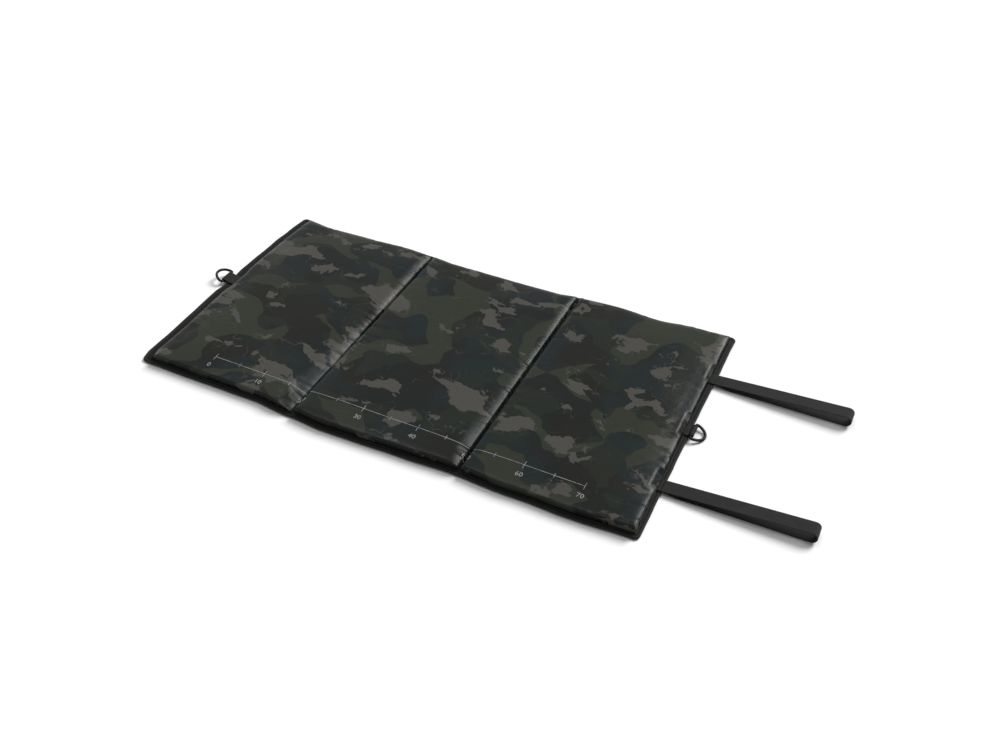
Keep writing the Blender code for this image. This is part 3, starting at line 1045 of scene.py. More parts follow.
    def fit(self, pad: bpy.types.Object) -> None:
        """Ease the highest places down to the height that a folded panel has room for."""
        points = read_points(pad.data)
        soft = 0.0010
        over = points[:, 2] - (self.highest - soft)
        points[:, 2] = np.where(over > 0, self.highest - soft + soft * np.tanh(over / soft), points[:, 2])
        write_points(pad.data, points)

    def pucker(self, pad: bpy.types.Object) -> None:
        """Press short uneven creases into the cloth, square to its sewn edges."""
        points = read_points(pad.data)
        normals = read_normals(pad.data)
        low = points.min(0)
        high = points.max(0)
        draw = np.random.default_rng(self.seed)
        press = np.zeros(len(points))
        sides = (
            (0, low[0], 1, self.low),
            (0, high[0], -1, self.high),
            (1, low[1], 1, self.front),
            (1, high[1], -1, self.back),
        )
        for axis, side, inward, edge in sides:
            along = points[:, 1 - axis]
            inset = (points[:, axis] - side) * inward
            span = high[1 - axis] - low[1 - axis]
            for _ in range(int(span / edge.spacing)):
                middle = low[1 - axis] + span * draw.uniform(0.02, 0.98)
                length = draw.uniform(*edge.reach)
                width = draw.uniform(0.0026, 0.0080)
                slant = draw.uniform(-0.35, 0.35)
                depth = edge.depth * draw.uniform(0.2, 1.0)
                across = (along - middle - slant * inset) / width
                fade = np.exp(-((np.maximum(inset, 0) / length) ** 1.5))
                press += depth * fade * (np.exp(-(across ** 2)) - 0.45 * np.exp(-((across / 2.2) ** 2)))
        press *= smooth_step(points[:, 2], self.foot + 0.001, self.foot + 0.008)
        swell = self.swell(points)
        write_points(pad.data, points - normals * press[:, None] + np.array((0, 0, 1)) * swell[:, None])

    def swell(self, points: Points) -> Points:
        """Slow unevenness of the foam under the cloth.

        Args:
            points: Places on the pad.

        Returns:
            Lift of each place.
        """
        wave = crease_noise(points[:, 0] + 0.4 * points[:, 1], self.seed + 20, 3, 0.26, 0.11)
        wave += crease_noise(points[:, 1] - 0.3 * points[:, 0], self.seed + 40, 3, 0.30, 0.10)
        return 0.0003 * wave * smooth_step(points[:, 2], self.foot, self.crown)

    def lay_map(self, pad: bpy.types.Object) -> None:
        """Map the cloth from above, with its walls laid out past the edges."""
        mesh = pad.data
        points = read_points(mesh)
        normals = read_normals(mesh)
        drop = (self.highest - points[:, 2])[:, None] * 0.7
        flat = points[:, :2] + normals[:, :2] * drop
        layer = mesh.uv_layers.get("cloth_map") or mesh.uv_layers.new(name="cloth_map")
        corners = np.zeros(len(mesh.loops), np.int32)
        mesh.loops.foreach_get("vertex_index", corners)
        layer.data.foreach_set("uv", flat[corners].astype(np.float32).ravel())


class Rim:
    """The bound edge: a rounded rectangle walked from the middle of the front towards +X."""

    def __init__(self, plan: Plan) -> None:
        """Measure the runs and the corners."""
        self.plan = plan
        radius = plan.corner_radius
        self.quarter = 0.5 * pi * radius
        self.front = plan.high_x - radius
        self.end = 2 * (plan.half_width - radius)
        self.back = plan.high_x - plan.low_x - 2 * radius

    def back_at(self, x: float) -> float:
        """Distance along the rim to a place on the back edge."""
        return self.front + 2 * self.quarter + self.end + (self.plan.high_x - self.plan.corner_radius - x)

    def round_length(self) -> float:
        """Length of the whole rim."""
        return 2 * self.end + 2 * self.back + 4 * self.quarter

    def inside(self, along: Points, inset: Points) -> Points:
        """Places at an inset from the rim, mitred at the corners.

        Args:
            along: Distances from the middle of the front.
            inset: Distances in from the edge.

        Returns:
            Places on the floor.
        """
        centre, outward = self.walk(along)
        flat = centre + outward * (self.plan.corner_radius - inset)[:, None]
        room = np.maximum(inset, 0)
        x = np.clip(flat[:, 0], self.plan.low_x + room, self.plan.high_x - room)
        y = np.clip(flat[:, 1], -self.plan.half_width + room, self.plan.half_width - room)
        deep = inset > self.plan.corner_radius
        return np.where(deep[:, None], np.column_stack((x, y)), flat)

    def walk(self, along: Points) -> tuple[Points, Points]:
        """Places and outward directions at distances along the rim.

        Args:
            along: Distances from the middle of the front.

        Returns:
            Corner-centre places and unit outward directions. A point of the rim at an inset is its
            centre place plus its direction times the radius less the inset.
        """
        radius = self.plan.corner_radius
        high_x = self.plan.high_x - radius
        low_x = self.plan.low_x + radius
        half = self.plan.half_width - radius
        runs = (
            (self.front, (0.0, -half), (1, 0)),
            (self.quarter, (high_x, -half), None),
            (self.end, (high_x, -half), (0, 1)),
            (self.quarter, (high_x, half), None),
            (self.back, (high_x, half), (-1, 0)),
            (self.quarter, (low_x, half), None),
            (self.end, (low_x, half), (0, -1)),
            (self.quarter, (low_x, -half), None),
            (-low_x, (low_x, -half), (1, 0)),
        )
        along = np.mod(along, self.round_length())
        places = np.zeros((len(along), 2))
        outward = np.zeros((len(along), 2))
        start = 0.0
        heading = -0.5 * pi
        for length, corner, direction in runs:
            inside = (along >= start - 1e-9) & (along <= start + length + 1e-9)
            local = along[inside] - start
            if direction is None:
                angle = heading + local / radius
                places[inside] = corner
                outward[inside] = np.stack((np.cos(angle), np.sin(angle)), 1)
                heading += 0.5 * pi
            else:
                places[inside] = np.array(corner) + local[:, None] * np.array(direction)
                outward[inside] = (cos(heading), sin(heading))
            start += length
        return places, outward


RIM = Rim(PLAN)


@dataclass
class Binding:
    """Woven tape folded over the rim and sewn through."""

    fold_height: float = 0.0046
    sewn_height: float = 0.0028
    floor_air: float = 0.0011
    roll_run: float = 0.0030
    stitch_inset: float = 0.0050
    groove: float = 0.0015
    crest: float = 0.0006
    crest_run: float = 0.0030
    tuck: float = 0.0018
    pull: float = 0.00022
    pull_reach: float = 0.0030
    uneven: float = 0.00028
    lip: float = 0.0012
    turn_from: float = 0.46
    turn_to: float = 0.54
    wave: float = 0.0007
    rows: int = 26

    def top(self, along: Points, inset: Points) -> Points:
        """Height of the tape's upper face.

        Args:
            along: Distances along the rim.
            inset: Distances in from its edge.

        Returns:
            Heights over the floor.
        """
        past = inset - self.stitch_inset
        roll = self.fold_height * np.sqrt(np.clip(1 - (1 - np.clip(inset / self.roll_run, 0, 1)) ** 2, 0, 1))
        press = (self.fold_height - self.sewn_height) * np.exp(-((past / self.groove) ** 2))
        lift = self.crest * smooth_step(past, 0, self.crest_run)
        lift -= self.tuck * smooth_step(past, self.crest_run, 2 * self.crest_run)
        pull = self.pull * np.cos(2 * pi * along / STITCH_PITCH) * np.exp(-((past / self.pull_reach) ** 2))
        uneven = self.uneven * crease_noise(along, 5, 5, 0.090, 0.014) * smooth_step(inset, 0.0, 0.004)
        return np.maximum(roll - press + lift - pull + uneven, self.floor_air + 2 * TAPE)

    def section(self, along: Points, across: Points) -> tuple[Points, Points]:
        """Inset and height of the folded tape's outer face.

        Args:
            along: Distances along the rim.
            across: Shares of the tape's width, from its lower edge to its upper.

        Returns:
            Insets and heights.
        """
        lower = across < self.turn_from
        upper = across > self.turn_to
        middle = ~(lower | upper)
        inset = np.zeros_like(across)
        height = np.zeros_like(across)
        inset[lower] = self.lip + (TAPE_WIDTH - self.lip) * (1 - across[lower] / self.turn_from)
        height[lower] = self.floor_air
        inset[upper] = self.lip + (TAPE_WIDTH - self.lip) * (across[upper] - self.turn_to) / (1 - self.turn_to)
        height[upper] = self.top(along[upper], inset[upper])
        turn = (across[middle] - self.turn_from) / (self.turn_to - self.turn_from)
        lip = self.top(along[middle], np.full(middle.sum(), self.lip))
        inset[middle] = self.lip - self.lip * np.sin(pi * turn)
        height[middle] = self.floor_air + (lip - self.floor_air) * (1 - np.cos(pi * turn)) / 2
        return inset, height

    def stretch_of(self, name: str, start: float, end: float, material: bpy.types.Material) -> bpy.types.Object:
        """Model the tape along one stretch of the rim.

        Args:
            name: Name of the piece.
            start: Distance along the rim where it begins.
            end: Distance where it ends.
            material: Woven tape.

        Returns:
            The closed stretch of tape.
        """

        def place(s: Points, t: Points) -> Points:
            along = start + s * (end - start)
            inset, height = self.section(along, t)
            _, outward = RIM.walk(along)
            shy = self.wave * crease_noise(along, 11, 5, 0.30, 0.035)
            flat = RIM.inside(along, inset) + outward * shy[:, None]
            return drift(np.column_stack((flat, height)))

        cells = (max(4, ceil((end - start) / CUT)), self.rows)
        tape = bent_strip(name, cells, (end - start, 2 * TAPE_WIDTH + self.fold_height), place)
        thicken(tape, TAPE, 1)
        shade(tape, 50)
        return dress(tape, material)

    def stitches(self, name: str, start: float, end: float, stitcher: Stitcher) -> bpy.types.Object:
        """Sew the rows that hold the tape, above and below.

        Args:
            name: Name of the row.
            start: Distance along the rim where it begins.
            end: Distance where it ends.
            stitcher: Maker of stitches.

        Returns:
            The two rows as one piece.
        """
        count = round((end - start) / STITCH_PITCH)
        along = start + (np.arange(count) + 0.5) * (end - start) / count
        _, outward = RIM.walk(along)
        inset = np.full(count, self.stitch_inset)
        flat = drift(np.column_stack((RIM.inside(along, inset), self.top(along, inset))))
        places = []
        for index in range(count):
            direction = Vector((-outward[index][1], outward[index][0], 0))
            upper = Vector(flat[index]) + Vector((0, 0, TAPE + 0.00005))
            lower = Vector((flat[index][0], flat[index][1], 0.00035))
            places.append((upper, direction, Vector((0, 0, 1))))
            places.append((lower, direction, Vector((0, 0, -1))))
        return stitcher.sew(name, places)

    def build(self, material: bpy.types.Material, stitcher: Stitcher) -> None:
        """Bind the whole rim, stretch by stretch.

        Args:
            material: Woven tape.
            stitcher: Maker of stitches.
        """
        reach = FOLD_REACH
        left, right = PLAN.left_seam, PLAN.right_seam
        total = RIM.round_length()
        back = RIM.back_at
        stretches = (
            ("binding_end_left", back(left - reach), total + left - reach, Body.LEFT, ("binding_left",)),
            ("binding_front_middle", left + reach, right - reach, Body.MIDDLE, ("binding_middle_front",)),
            ("binding_back_middle", back(right - reach), back(left + reach), Body.MIDDLE, ("binding_middle_back",)),
            ("binding_end_right", right + reach, back(right + reach), Body.RIGHT, ("binding_right",)),
        )
        for name, start, end, body, nodes in stretches:
            tape = self.stretch_of(name, start, end, material)
            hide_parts(*nodes)
            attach(tape, body.value)
            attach(self.stitches(f"stitches_{name}", start, end, stitcher), body.value)
            LOG.info("%s: %d faces", name, len(tape.data.polygons))
        for fold in FOLDS:
            for side in Side:
                start = fold.x - reach if side is Side.FRONT else back(fold.x + reach)
                name = f"binding_fold_{fold.name}_{side.name.lower()}"
                tape = self.stretch_of(name, start, start + 2 * reach, material)
                fold.bend(tape, reach)
                row = self.stitches(f"stitches_{name}", start, start + 2 * reach, stitcher)
                fold.bend(row, reach)
                LOG.info("%s: %d faces", name, len(tape.data.polygons))


@dataclass
class BaseCloth:
    """Backing cloth, flat on the ground and stepped up into the binding."""

    step_run: float = 0.0020
    rim_height: float = 0.0013
    air: float = 0.0001
    cell: float = 0.0035

    def height(self, x: Points, y: Points) -> Points:
        """Height of the cloth's lower face over the floor."""
        inset = np.minimum(PLAN.half_width - np.abs(y), np.minimum(x - PLAN.low_x, PLAN.high_x - x))
        rise = 1 - smooth_step(inset, TAPE_WIDTH, TAPE_WIDTH + self.step_run)
        return self.air + (self.rim_height - self.air) * rise

    def sheet(self, name: str, low_x: float, high_x: float, material: bpy.types.Material) -> bpy.types.Object:
        """Model the cloth between two places along the mat.

        Args:
            name: Name of the piece.
            low_x: Where it begins.
            high_x: Where it ends.
            material: Backing cloth.

        Returns:
            The closed sheet.
        """
        margin = 0.002
        width = 2 * (PLAN.half_width - margin)

        def place(s: Points, t: Points) -> Points:
            x = np.clip(low_x + s * (high_x - low_x), PLAN.low_x + margin, PLAN.high_x - margin)
            y = (t - 0.5) * width
            return drift(np.column_stack((x, y, self.height(x, y))))

        cells = (max(6, ceil((high_x - low_x) / self.cell)), ceil(width / self.cell))
        cloth = bent_strip(name, cells, (high_x - low_x, width), place)
        thicken(cloth, CLOTH, 1)
        shade(cloth, 50)
        dress(cloth, material)
        return cloth

    def build(self, material: bpy.types.Material) -> None:
        """Lay the backing under the three panels and over the two folds.

        Args:
            material: Backing cloth.
        """
        reach = FOLD_REACH
        edges = (PLAN.low_x, PLAN.left_seam, PLAN.right_seam, PLAN.high_x)
        for index, body in enumerate((Body.LEFT, Body.MIDDLE, Body.RIGHT)):
            name = body.name.lower()
            low = edges[index] + (reach if index else 0)
            high = edges[index + 1] - (reach if index < 2 else 0)
            cloth = self.sheet(f"base_cloth_{name}", low, high, material)
            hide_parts(f"bottom_cover_{name}")
            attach(cloth, body.value)
            LOG.info("base cloth %s: %d faces", name, len(cloth.data.polygons))
        for fold in FOLDS:
            cloth = self.sheet(f"base_cloth_fold_{fold.name}", fold.x - reach, fold.x + reach, material)
            fold.bend(cloth, reach)


@dataclass
class SeamValley:
    """Printed cloth at the bottom of a fold, sewn through to the backing."""

    fold: Fold
    reach: float = 0.0052
    height: float = 0.0030
    dip: float = 0.0006
    groove: float = 0.0016
    pull: float = 0.0002
    thread_reach: float = 0.040

    def build(self, material: bpy.types.Material, stitcher: Stitcher) -> None:
        """Model the valley and its seam.

        Args:
            material: Printed cloth.
            stitcher: Maker of stitches.
        """
        half = PLAN.half_width - TAPE_WIDTH + 0.001

        def place(s: Points, t: Points) -> Points:
            across = (s - 0.5) * 2 * self.reach
            y = (t - 0.5) * 2 * half
            pull = self.pull * np.cos(2 * pi * y / STITCH_PITCH)
            z = self.height - (self.dip + pull) * np.exp(-((across / self.groove) ** 2))
            return drift(np.column_stack((self.fold.x + across, y, z)))

        cells = (12, ceil(2 * half / 0.002))
        cloth = bent_strip(f"seam_cloth_{self.fold.name}", cells, (2 * self.reach, 2 * half), place)
        thicken(cloth, CLOTH, -1)
        shade(cloth, 50)
        dress(cloth, material)
        self.fold.bend(cloth, self.reach)
        count = round(2 * half / STITCH_PITCH)
        y = -half + (np.arange(count) + 0.5) * 2 * half / count
        line = np.column_stack((np.full(count, self.fold.x), y, np.full(count, self.height - self.dip + 0.0002)))
        places = [(Vector(point), Vector((0, 1, 0)), Vector((0, 0, 1))) for point in drift(line)]
        row = stitcher.sew(f"stitches_seam_{self.fold.name}", places)
        self.fold.bend(row, self.thread_reach)
        LOG.info("seam %s: %d stitches", self.fold.name, count)


@dataclass
class Webbing:
    """A length of strap webbing that follows a line in the XZ plane."""

    width: float = WEBBING_WIDTH
    thickness: float = WEBBING
    step: float = 0.0015

    def weave(
        self,
        name: str,
        line: Points,
        middle_y: Callable[[Points], Points],
        material: bpy.types.Material,
    ) -> bpy.types.Object:
        """Model the webbing along its line.

        Args:
            name: Name of the piece.
            line: Points (x, z) of its middle layer, in order.
            middle_y: Gives the line's Y for a share along it.
            material: Webbing.

        Returns:
            The closed strip with rounded selvedges.
        """
        legs = np.linalg.norm(np.diff(line, axis=0), axis=1)
        reach = np.concatenate(((0,), np.cumsum(legs)))
        total = reach[-1]

        def place(s: Points, t: Points) -> Points:
            x = np.interp(s * total, reach, line[:, 0])
            z = np.interp(s * total, reach, line[:, 1])
            y = middle_y(s) + (t - 0.5) * self.width
            return np.column_stack((x, y, z))

        strip = bent_strip(name, (max(8, ceil(total / self.step)), 12), (total, self.width), place)
        apply_modifier(strip, "SOLIDIFY", thickness=self.thickness, offset=0, use_even_offset=False)
        face_outwards(strip)
        apply_modifier(
            strip, "BEVEL", width=self.thickness * 0.32, segments=2, limit_method="ANGLE", angle_limit=radians(60)
        )
        shade(strip, 50)
        return dress(strip, material)


def arc(centre: tuple[float, float], radius: float, start: float, end: float, steps: int) -> Points:
    """Points of an arc from one angle to another."""
    angles = np.linspace(start, end, steps + 1)
    return np.column_stack((centre[0] + radius * np.cos(angles), centre[1] + radius * np.sin(angles)))


@dataclass
class DRing:
    """Bent-wire ring, and the webbing tab that holds it to one end of the mat."""

    name: str
    ring_body: Body
    panel_body: Body
    outward: int
    end_x: float
    wire: float = 0.0048
    width: float = 0.039
    depth: float = 0.0226
    corner_share: float = 0.12

    def build(self, finishes: Finishes, stitcher: Stitcher) -> None:
        """Model the ring and its tab.

        Args:
            finishes: The mat's finishes.
            stitcher: Maker of stitches.
        """
        joint = next(j for j in frame["joints"] if j["name"] == f"ring_{self.name}_swing")
        bar = Vector(joint["pos_m"])
        self.bend_ring(bar, finishes.metal)
        self.sew_tab(bar, finishes.webbing, stitcher)

    def bend_ring(self, bar: Vector, material: bpy.types.Material) -> None:
        """Bend a torus to the shape of the ring.

        Args:
            bar: Middle of the ring's straight bar.
            material: Dark wire.
        """
        node = frame["nodes"][f"d_ring_{self.name}"]
        points = read_points(node.data)
        rise = self.rise_of(points, bar)
        deselect_all()
        bpy.ops.mesh.primitive_torus_add(major_segments=120, minor_segments=20, major_radius=1, minor_radius=0.25)
        ring = bpy.context.active_object
        ring.name = f"ring_{self.name}"
        flat = read_points(ring.data)
        angle = np.arctan2(flat[:, 1], flat[:, 0])
        across = (np.hypot(flat[:, 0], flat[:, 1]) - 1) / 0.25
        lift = flat[:, 2] / 0.25
        middle, aside = self.centreline(angle)
        half = self.wire / 2
        reach = middle[:, 0] + aside[:, 0] * across * half
        side = middle[:, 1] + aside[:, 1] * across * half
        up = lift * half
        out_x = self.outward * (reach * cos(rise) - up * sin(rise))
        out_z = reach * sin(rise) + up * cos(rise)
        write_points(ring.data, np.column_stack((bar.x + out_x, bar.y + side, bar.z + out_z)))
        face_outwards(ring)
        shade(ring, 60)
        dress(ring, material)
        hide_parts(f"d_ring_{self.name}")
        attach(ring, self.ring_body.value)
        LOG.info("ring %s rises %.1f degrees", self.name, rise * 180 / pi)

    def rise_of(self, points: Points, bar: Vector) -> float:
        """Angle at which the ring rests, from the furthest points of its solid."""
        out = (points[:, 0] - bar.x) * self.outward
        far = points[out > out.max() - self.wire / 3]
        return atan2(float(far[:, 2].mean() - bar.z), self.depth - self.wire / 2)

    def centreline(self, angle: Points) -> tuple[Points, Points]:
        """Middle of the wire and its outward side for angles round the ring.

        Args:
            angle: Angles from the ring's far point.

        Returns:
            Places and outward directions as (reach, side).
        """
        half_width = (self.width - self.wire) / 2
        depth = self.depth - self.wire / 2
        bend = 0.62 * pi
        share = angle / pi
        on_arc = np.abs(angle) <= bend
        turn = np.clip(angle / bend, -1, 1) * (0.5 * pi - self.corner_share)
        places = np.column_stack((depth * np.cos(turn), half_width * np.sin(turn)))
        straight = np.sign(angle) * half_width * np.cos(self.corner_share) * (1 - np.abs(share)) / (1 - bend / pi)
        flat = np.column_stack((np.zeros_like(angle), straight))
        places = np.where(on_arc[:, None], places, flat)
        ellipse = np.column_stack((np.cos(turn) / depth, np.sin(turn) / half_width))
        ellipse /= np.linalg.norm(ellipse, axis=1)[:, None]
        into = np.clip((np.abs(angle) - bend) / (0.10 * pi), 0, 1)
        edge = 0.5 * pi + 0.5 * pi * into
        back = np.column_stack((np.cos(edge), np.sign(angle) * np.sin(edge)))
        aside = np.where(on_arc[:, None], ellipse, back)
        corner = np.exp(-(((np.abs(angle) - bend) / (0.07 * pi)) ** 2))
        places[:, 0] += depth * self.corner_share * 0.5 * corner * on_arc
        return places, aside

    def sew_tab(self, bar: Vector, material: bpy.types.Material, stitcher: Stitcher) -> None:
        """Fold webbing round the bar and sew it to the rim.

        Args:
            bar: Middle of the ring's bar.
            material: Webbing.
            stitcher: Maker of stitches.
        """
        lower = WEBBING_LOW
        upper = lower + WEBBING + LAYER_AIR
        inner = -WEBBING_REACH
        radius = self.wire / 2 + WEBBING / 2 + 0.0003
        reach = (bar.x - self.end_x) * self.outward
        eye = arc((reach, bar.z), radius, -0.5 * pi, radians(140), 22)
        eye[0, 1] = bar.z - radius
        neck = np.array(((-0.0005, upper + 0.0002), (inner * 0.5, upper), (inner, upper)))
        lead = np.array(((inner, lower), (inner * 0.5, lower), (0.0, lower), (reach * 0.5, lower)))
        line = np.concatenate((lead, eye, neck))
        line[:, 0] = self.end_x + self.outward * line[:, 0]
        tab = Webbing().weave(f"ring_tab_{self.name}", line, lambda s: np.full_like(s, bar.y), material)
        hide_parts(f"d_ring_tab_{self.name}")
        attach(tab, self.panel_body.value)
        places = patch_stitches(self.end_x, self.outward, bar.y, upper + WEBBING / 2)
        row = stitcher.sew(f"stitches_tab_{self.name}", places)
        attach(row, self.panel_body.value)


def patch_stitches(
    end_x: float, outward: int, middle_y: float, height: float
) -> list[tuple[Vector, Vector, Vector]]:
    """Places for a box of stitches on webbing that is sewn to the rim.

    Args:
        end_x: Edge of the mat.
        outward: Sign of the outward direction.
        middle_y: Middle of the webbing.
        height: Its upper face.

    Returns:
        Middle, direction and normal of each stitch.
    """
    near = end_x - outward * PATCH_MARGIN
    far = end_x - outward * PATCH_FAR
    half = WEBBING_WIDTH / 2 - PATCH_MARGIN
    corners = (
        (near, middle_y - half),
        (near, middle_y + half),
        (far, middle_y + half),
        (far, middle_y - half),
    )
    places = []
    for index, corner in enumerate(corners):
        following = corners[(index + 1) % 4]
        start = Vector((*corner, height))
        end = Vector((*following, height))
        count = max(2, round((end - start).length / PATCH_PITCH))
        for step in range(count):
            middle = start.lerp(end, (step + 0.5) / count)
            places.append((middle, end - start, Vector((0, 0, 1))))
    return places


@dataclass
class CarryingStrap:
    """A loop of webbing at the +X end, and the patch that anchors it."""

    name: str
    body: Body
    length: float
    splay: float
    loop_height: float = 0.020
    drop_run: float = 0.030
    lower: float = WEBBING_LOW

    def line(self) -> Points:
        """Line of the loop: out along the ground, round the far turn and straight back.

        Returns:
            Points (reach, height) from the mat's edge.
        """
        ground = WEBBING / 2 + 0.0001
        turn = (self.loop_height - WEBBING) / 2
        turn_x = self.length - turn - WEBBING / 2
        leaf = WEBBING + LAYER_AIR
        share = np.linspace(0, 1, 14)
        drop = (self.lower - ground) * (1 + np.cos(pi * share)) / 2
        out = np.column_stack((self.drop_run * share, ground + drop))
        run = np.linspace(self.drop_run, turn_x, 24)[1:-1]
        flat = np.column_stack((run, np.full_like(run, ground)))
        far = arc((turn_x, ground + turn), turn, -0.5 * pi, 0.5 * pi, 26)
        rise = np.linspace(1, 0, 40)[1:]
        root = self.lower + leaf
        bow = 0.0008 * np.sin(pi * rise)
        back = np.column_stack((turn_x * rise, root + (ground + 2 * turn - root) * rise + bow))
        return np.concatenate((out, flat, far, back))

    def build(self, finishes: Finishes, stitcher: Stitcher) -> None:
        """Model the loop and its anchor.

        Args:
            finishes: The mat's finishes.
            stitcher: Maker of stitches.
        """
        joint = next(j for j in frame["joints"] if j["name"] == f"strap_{self.name}_swing")
        y = joint["pos_m"][1]
        edge = PLAN.high_x
        line = self.line()
        line[:, 0] += edge + 0.0003
        far = line[:, 0].max() - edge
        legs = np.linalg.norm(np.diff(line, axis=0), axis=1)
        share = np.concatenate(((0,), np.cumsum(legs))) / legs.sum()
        reach = (line[:, 0] - edge) / far

        def middle(s: Points) -> Points:
            sway = 0.0008 * np.sin(2 * pi * s)
            return y + self.splay * np.interp(s, share, reach) + sway

        loop = Webbing(step=0.002).weave(f"strap_{self.name}", line, middle, finishes.webbing)
        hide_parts(f"strap_loop_{self.name}")
        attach(loop, self.body.value)
        self.anchor(y, finishes, stitcher)
        LOG.info("strap %s: %.0f mm of webbing", self.name, legs.sum() * 1000)

    def anchor(self, y: float, finishes: Finishes, stitcher: Stitcher) -> None:
        """Model the folded patch that is sewn to the rim.

        Args:
            y: Middle of the strap.
            finishes: The mat's finishes.
            stitcher: Maker of stitches.
        """
        leaf = WEBBING + LAYER_AIR
        inner = -WEBBING_REACH
        turn = arc((inner + leaf / 2, self.lower + leaf / 2), leaf / 2, 1.5 * pi, 0.5 * pi, 8)
        start = np.array(((-0.0003, self.lower), (inner * 0.5, self.lower)))
        end = np.array(((inner * 0.5, self.lower + leaf), (-0.0003, self.lower + leaf)))
        line = np.concatenate((start, turn, end))
        line[:, 0] += PLAN.high_x
        patch = Webbing().weave(f"anchor_{self.name}", line, lambda s: np.full_like(s, y), finishes.webbing)
        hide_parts(f"strap_anchor_{self.name}")
        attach(patch, Body.RIGHT.value)
        height = self.lower + leaf + WEBBING / 2
        places = patch_stitches(PLAN.high_x, 1, y, height)
        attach(stitcher.sew(f"stitches_anchor_{self.name}", places), Body.RIGHT.value)


@dataclass
class PrintedScale:
    """Length scale printed along the front of the panels, with a number at every ten."""

    pads: dict[Body, bpy.types.Object]
    line_y: float = -0.197
    stroke: float = 0.0008
    long_tick: float = 0.015
    short_tick: float = 0.009
    digit_height: float = 0.0084
    digit_drop: float = 0.0205
    lift: float = 0.00016
    sunk: float = 0.00030
    thickness: float = 0.00020
    cell: float = 0.0015
    tenth: float = 0.100
    seam_edge: float = 0.0030
    before_seam: float = 0.0052
    past_seam: float = 0.0050

    def drop_on(self, piece: bpy.types.Object, pad: bpy.types.Object) -> None:
        """Lay a flat print on the cloth.

        Args:
            piece: Print, flat and closed.
            pad: Panel that it is printed on.
        """
        points = read_points(piece.data)
        middle = (points[:, 2].min() + points[:, 2].max()) / 2
        for index, (x, y, z) in enumerate(points):
            hit, place, _, _ = pad.ray_cast(Vector((x, y, 0.1)), Vector((0, 0, -1)))
            base = place.z if hit else 0.004
            points[index, 2] = base + (self.lift if z > middle else -self.sunk)
        write_points(piece.data, points)

    def bar(self, low: tuple[float, float], high: tuple[float, float]) -> bpy.types.Object:
        """Model one flat stroke between two corners.

        Args:
            low: Lowest X and Y.
            high: Highest X and Y.

        Returns:
            The stroke, cut finely enough to follow the cloth.
        """

        def place(s: Points, t: Points) -> Points:
            return np.column_stack(
                (low[0] + s * (high[0] - low[0]), low[1] + t * (high[1] - low[1]), np.zeros_like(s))
            )

        size = (high[0] - low[0], high[1] - low[1])
        cells = (max(1, ceil(size[0] / self.cell)), max(1, ceil(size[1] / self.cell)))
        stroke = bent_strip("stroke", cells, size, place)
        thicken(stroke, self.thickness, -1)
        return stroke

    def digits(self, text: str, x: float, y: float) -> bpy.types.Object:
        """Model plain digits, flat and finely cut.

        Args:
            text: The digits.
            x: Their middle.
            y: Their middle.

        Returns:
            The digits as one mesh.
        """
        deselect_all()
        bpy.ops.object.text_add(location=(0, 0, 0))
        letters = bpy.context.active_object
        letters.data.body = text
        letters.data.size = self.digit_height / 0.69
        letters.data.align_x = "CENTER"
        letters.data.align_y = "CENTER"
        letters.data.offset = 0.00002
        letters.data.space_character = 1.05
        letters.data.extrude = self.thickness / 2
        bpy.ops.object.convert(target="MESH")
        figure = bpy.context.active_object
        figure.location = (x, y, -self.thickness / 2)
        bpy.ops.object.transform_apply(location=True)
        bpy.ops.object.mode_set(mode="EDIT")
        bpy.ops.mesh.select_all(action="SELECT")
        bpy.ops.mesh.remove_doubles(threshold=0.00002)
        bpy.ops.mesh.quads_convert_to_tris()
        bpy.ops.mesh.subdivide(number_cuts=1)
        bpy.ops.object.mode_set(mode="OBJECT")
        return figure

    def join(self, name: str, prints: list[bpy.types.Object], body: Body, ink: bpy.types.Material) -> None:
        """Join the prints of one panel, lay them on it and dress them."""
        deselect_all()
        for item in prints:
            item.select_set(True)
        bpy.context.view_layer.objects.active = prints[0]
        bpy.ops.object.join()
        piece = bpy.context.active_object
        piece.name = name
        piece.data.name = name
        self.drop_on(piece, self.pads[body])
        face_outwards(piece)
        dress(piece, ink)
        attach(piece, body.value)
        LOG.info("%s: %d faces", name, len(piece.data.polygons))

    def build(self, ink: bpy.types.Material) -> None:
        """Print the scale on the three panels.

        Args:
            ink: Pale ink.
        """
        left, right = PLAN.left_seam, PLAN.right_seam
        end_mark = self.stroke / 2
        # Panel, place of its zero mark, ends of its line, and marks
        runs = (
            (Body.LEFT, -0.336, -0.336, left - self.seam_edge, (0, 5, 10, 15)),
            (Body.MIDDLE, -0.3435, left + self.seam_edge, right - self.seam_edge, (25, 30, 35, 40, 45)),
            (Body.RIGHT, -0.358, right + self.seam_edge, 0.342, (55, 60, 65, 70)),
        )
        # The numbers 20 and 50 are parted by the seams
        edge_digits = {
            Body.LEFT: (("2", left - self.before_seam),),
            Body.MIDDLE: (("0", left + self.past_seam), ("5", right - self.before_seam)),
            Body.RIGHT: (("0", right + self.past_seam),),
        }
        for body, zero, low, high, marks in runs:
            prints = [self.bar((low - end_mark, self.line_y - end_mark), (high + end_mark, self.line_y + end_mark))]
            for mark in marks:
                x = zero + mark * self.tenth / 10
                half = (self.long_tick if mark % 10 == 0 else self.short_tick) / 2
                for side in (-1, 1):
                    low_y = self.line_y + (end_mark if side > 0 else -half)
                    high_y = self.line_y + (half if side > 0 else -end_mark)
                    prints.append(self.bar((x - end_mark, low_y), (x + end_mark, high_y)))
                if mark % 10 == 0:
                    prints.append(self.digits(str(mark), x, self.line_y - self.digit_drop))
            for text, x in edge_digits[body]:
                prints.append(self.digits(text, x, self.line_y - self.digit_drop))
            self.join(f"scale_{body.name.lower()}", prints, body, ink)


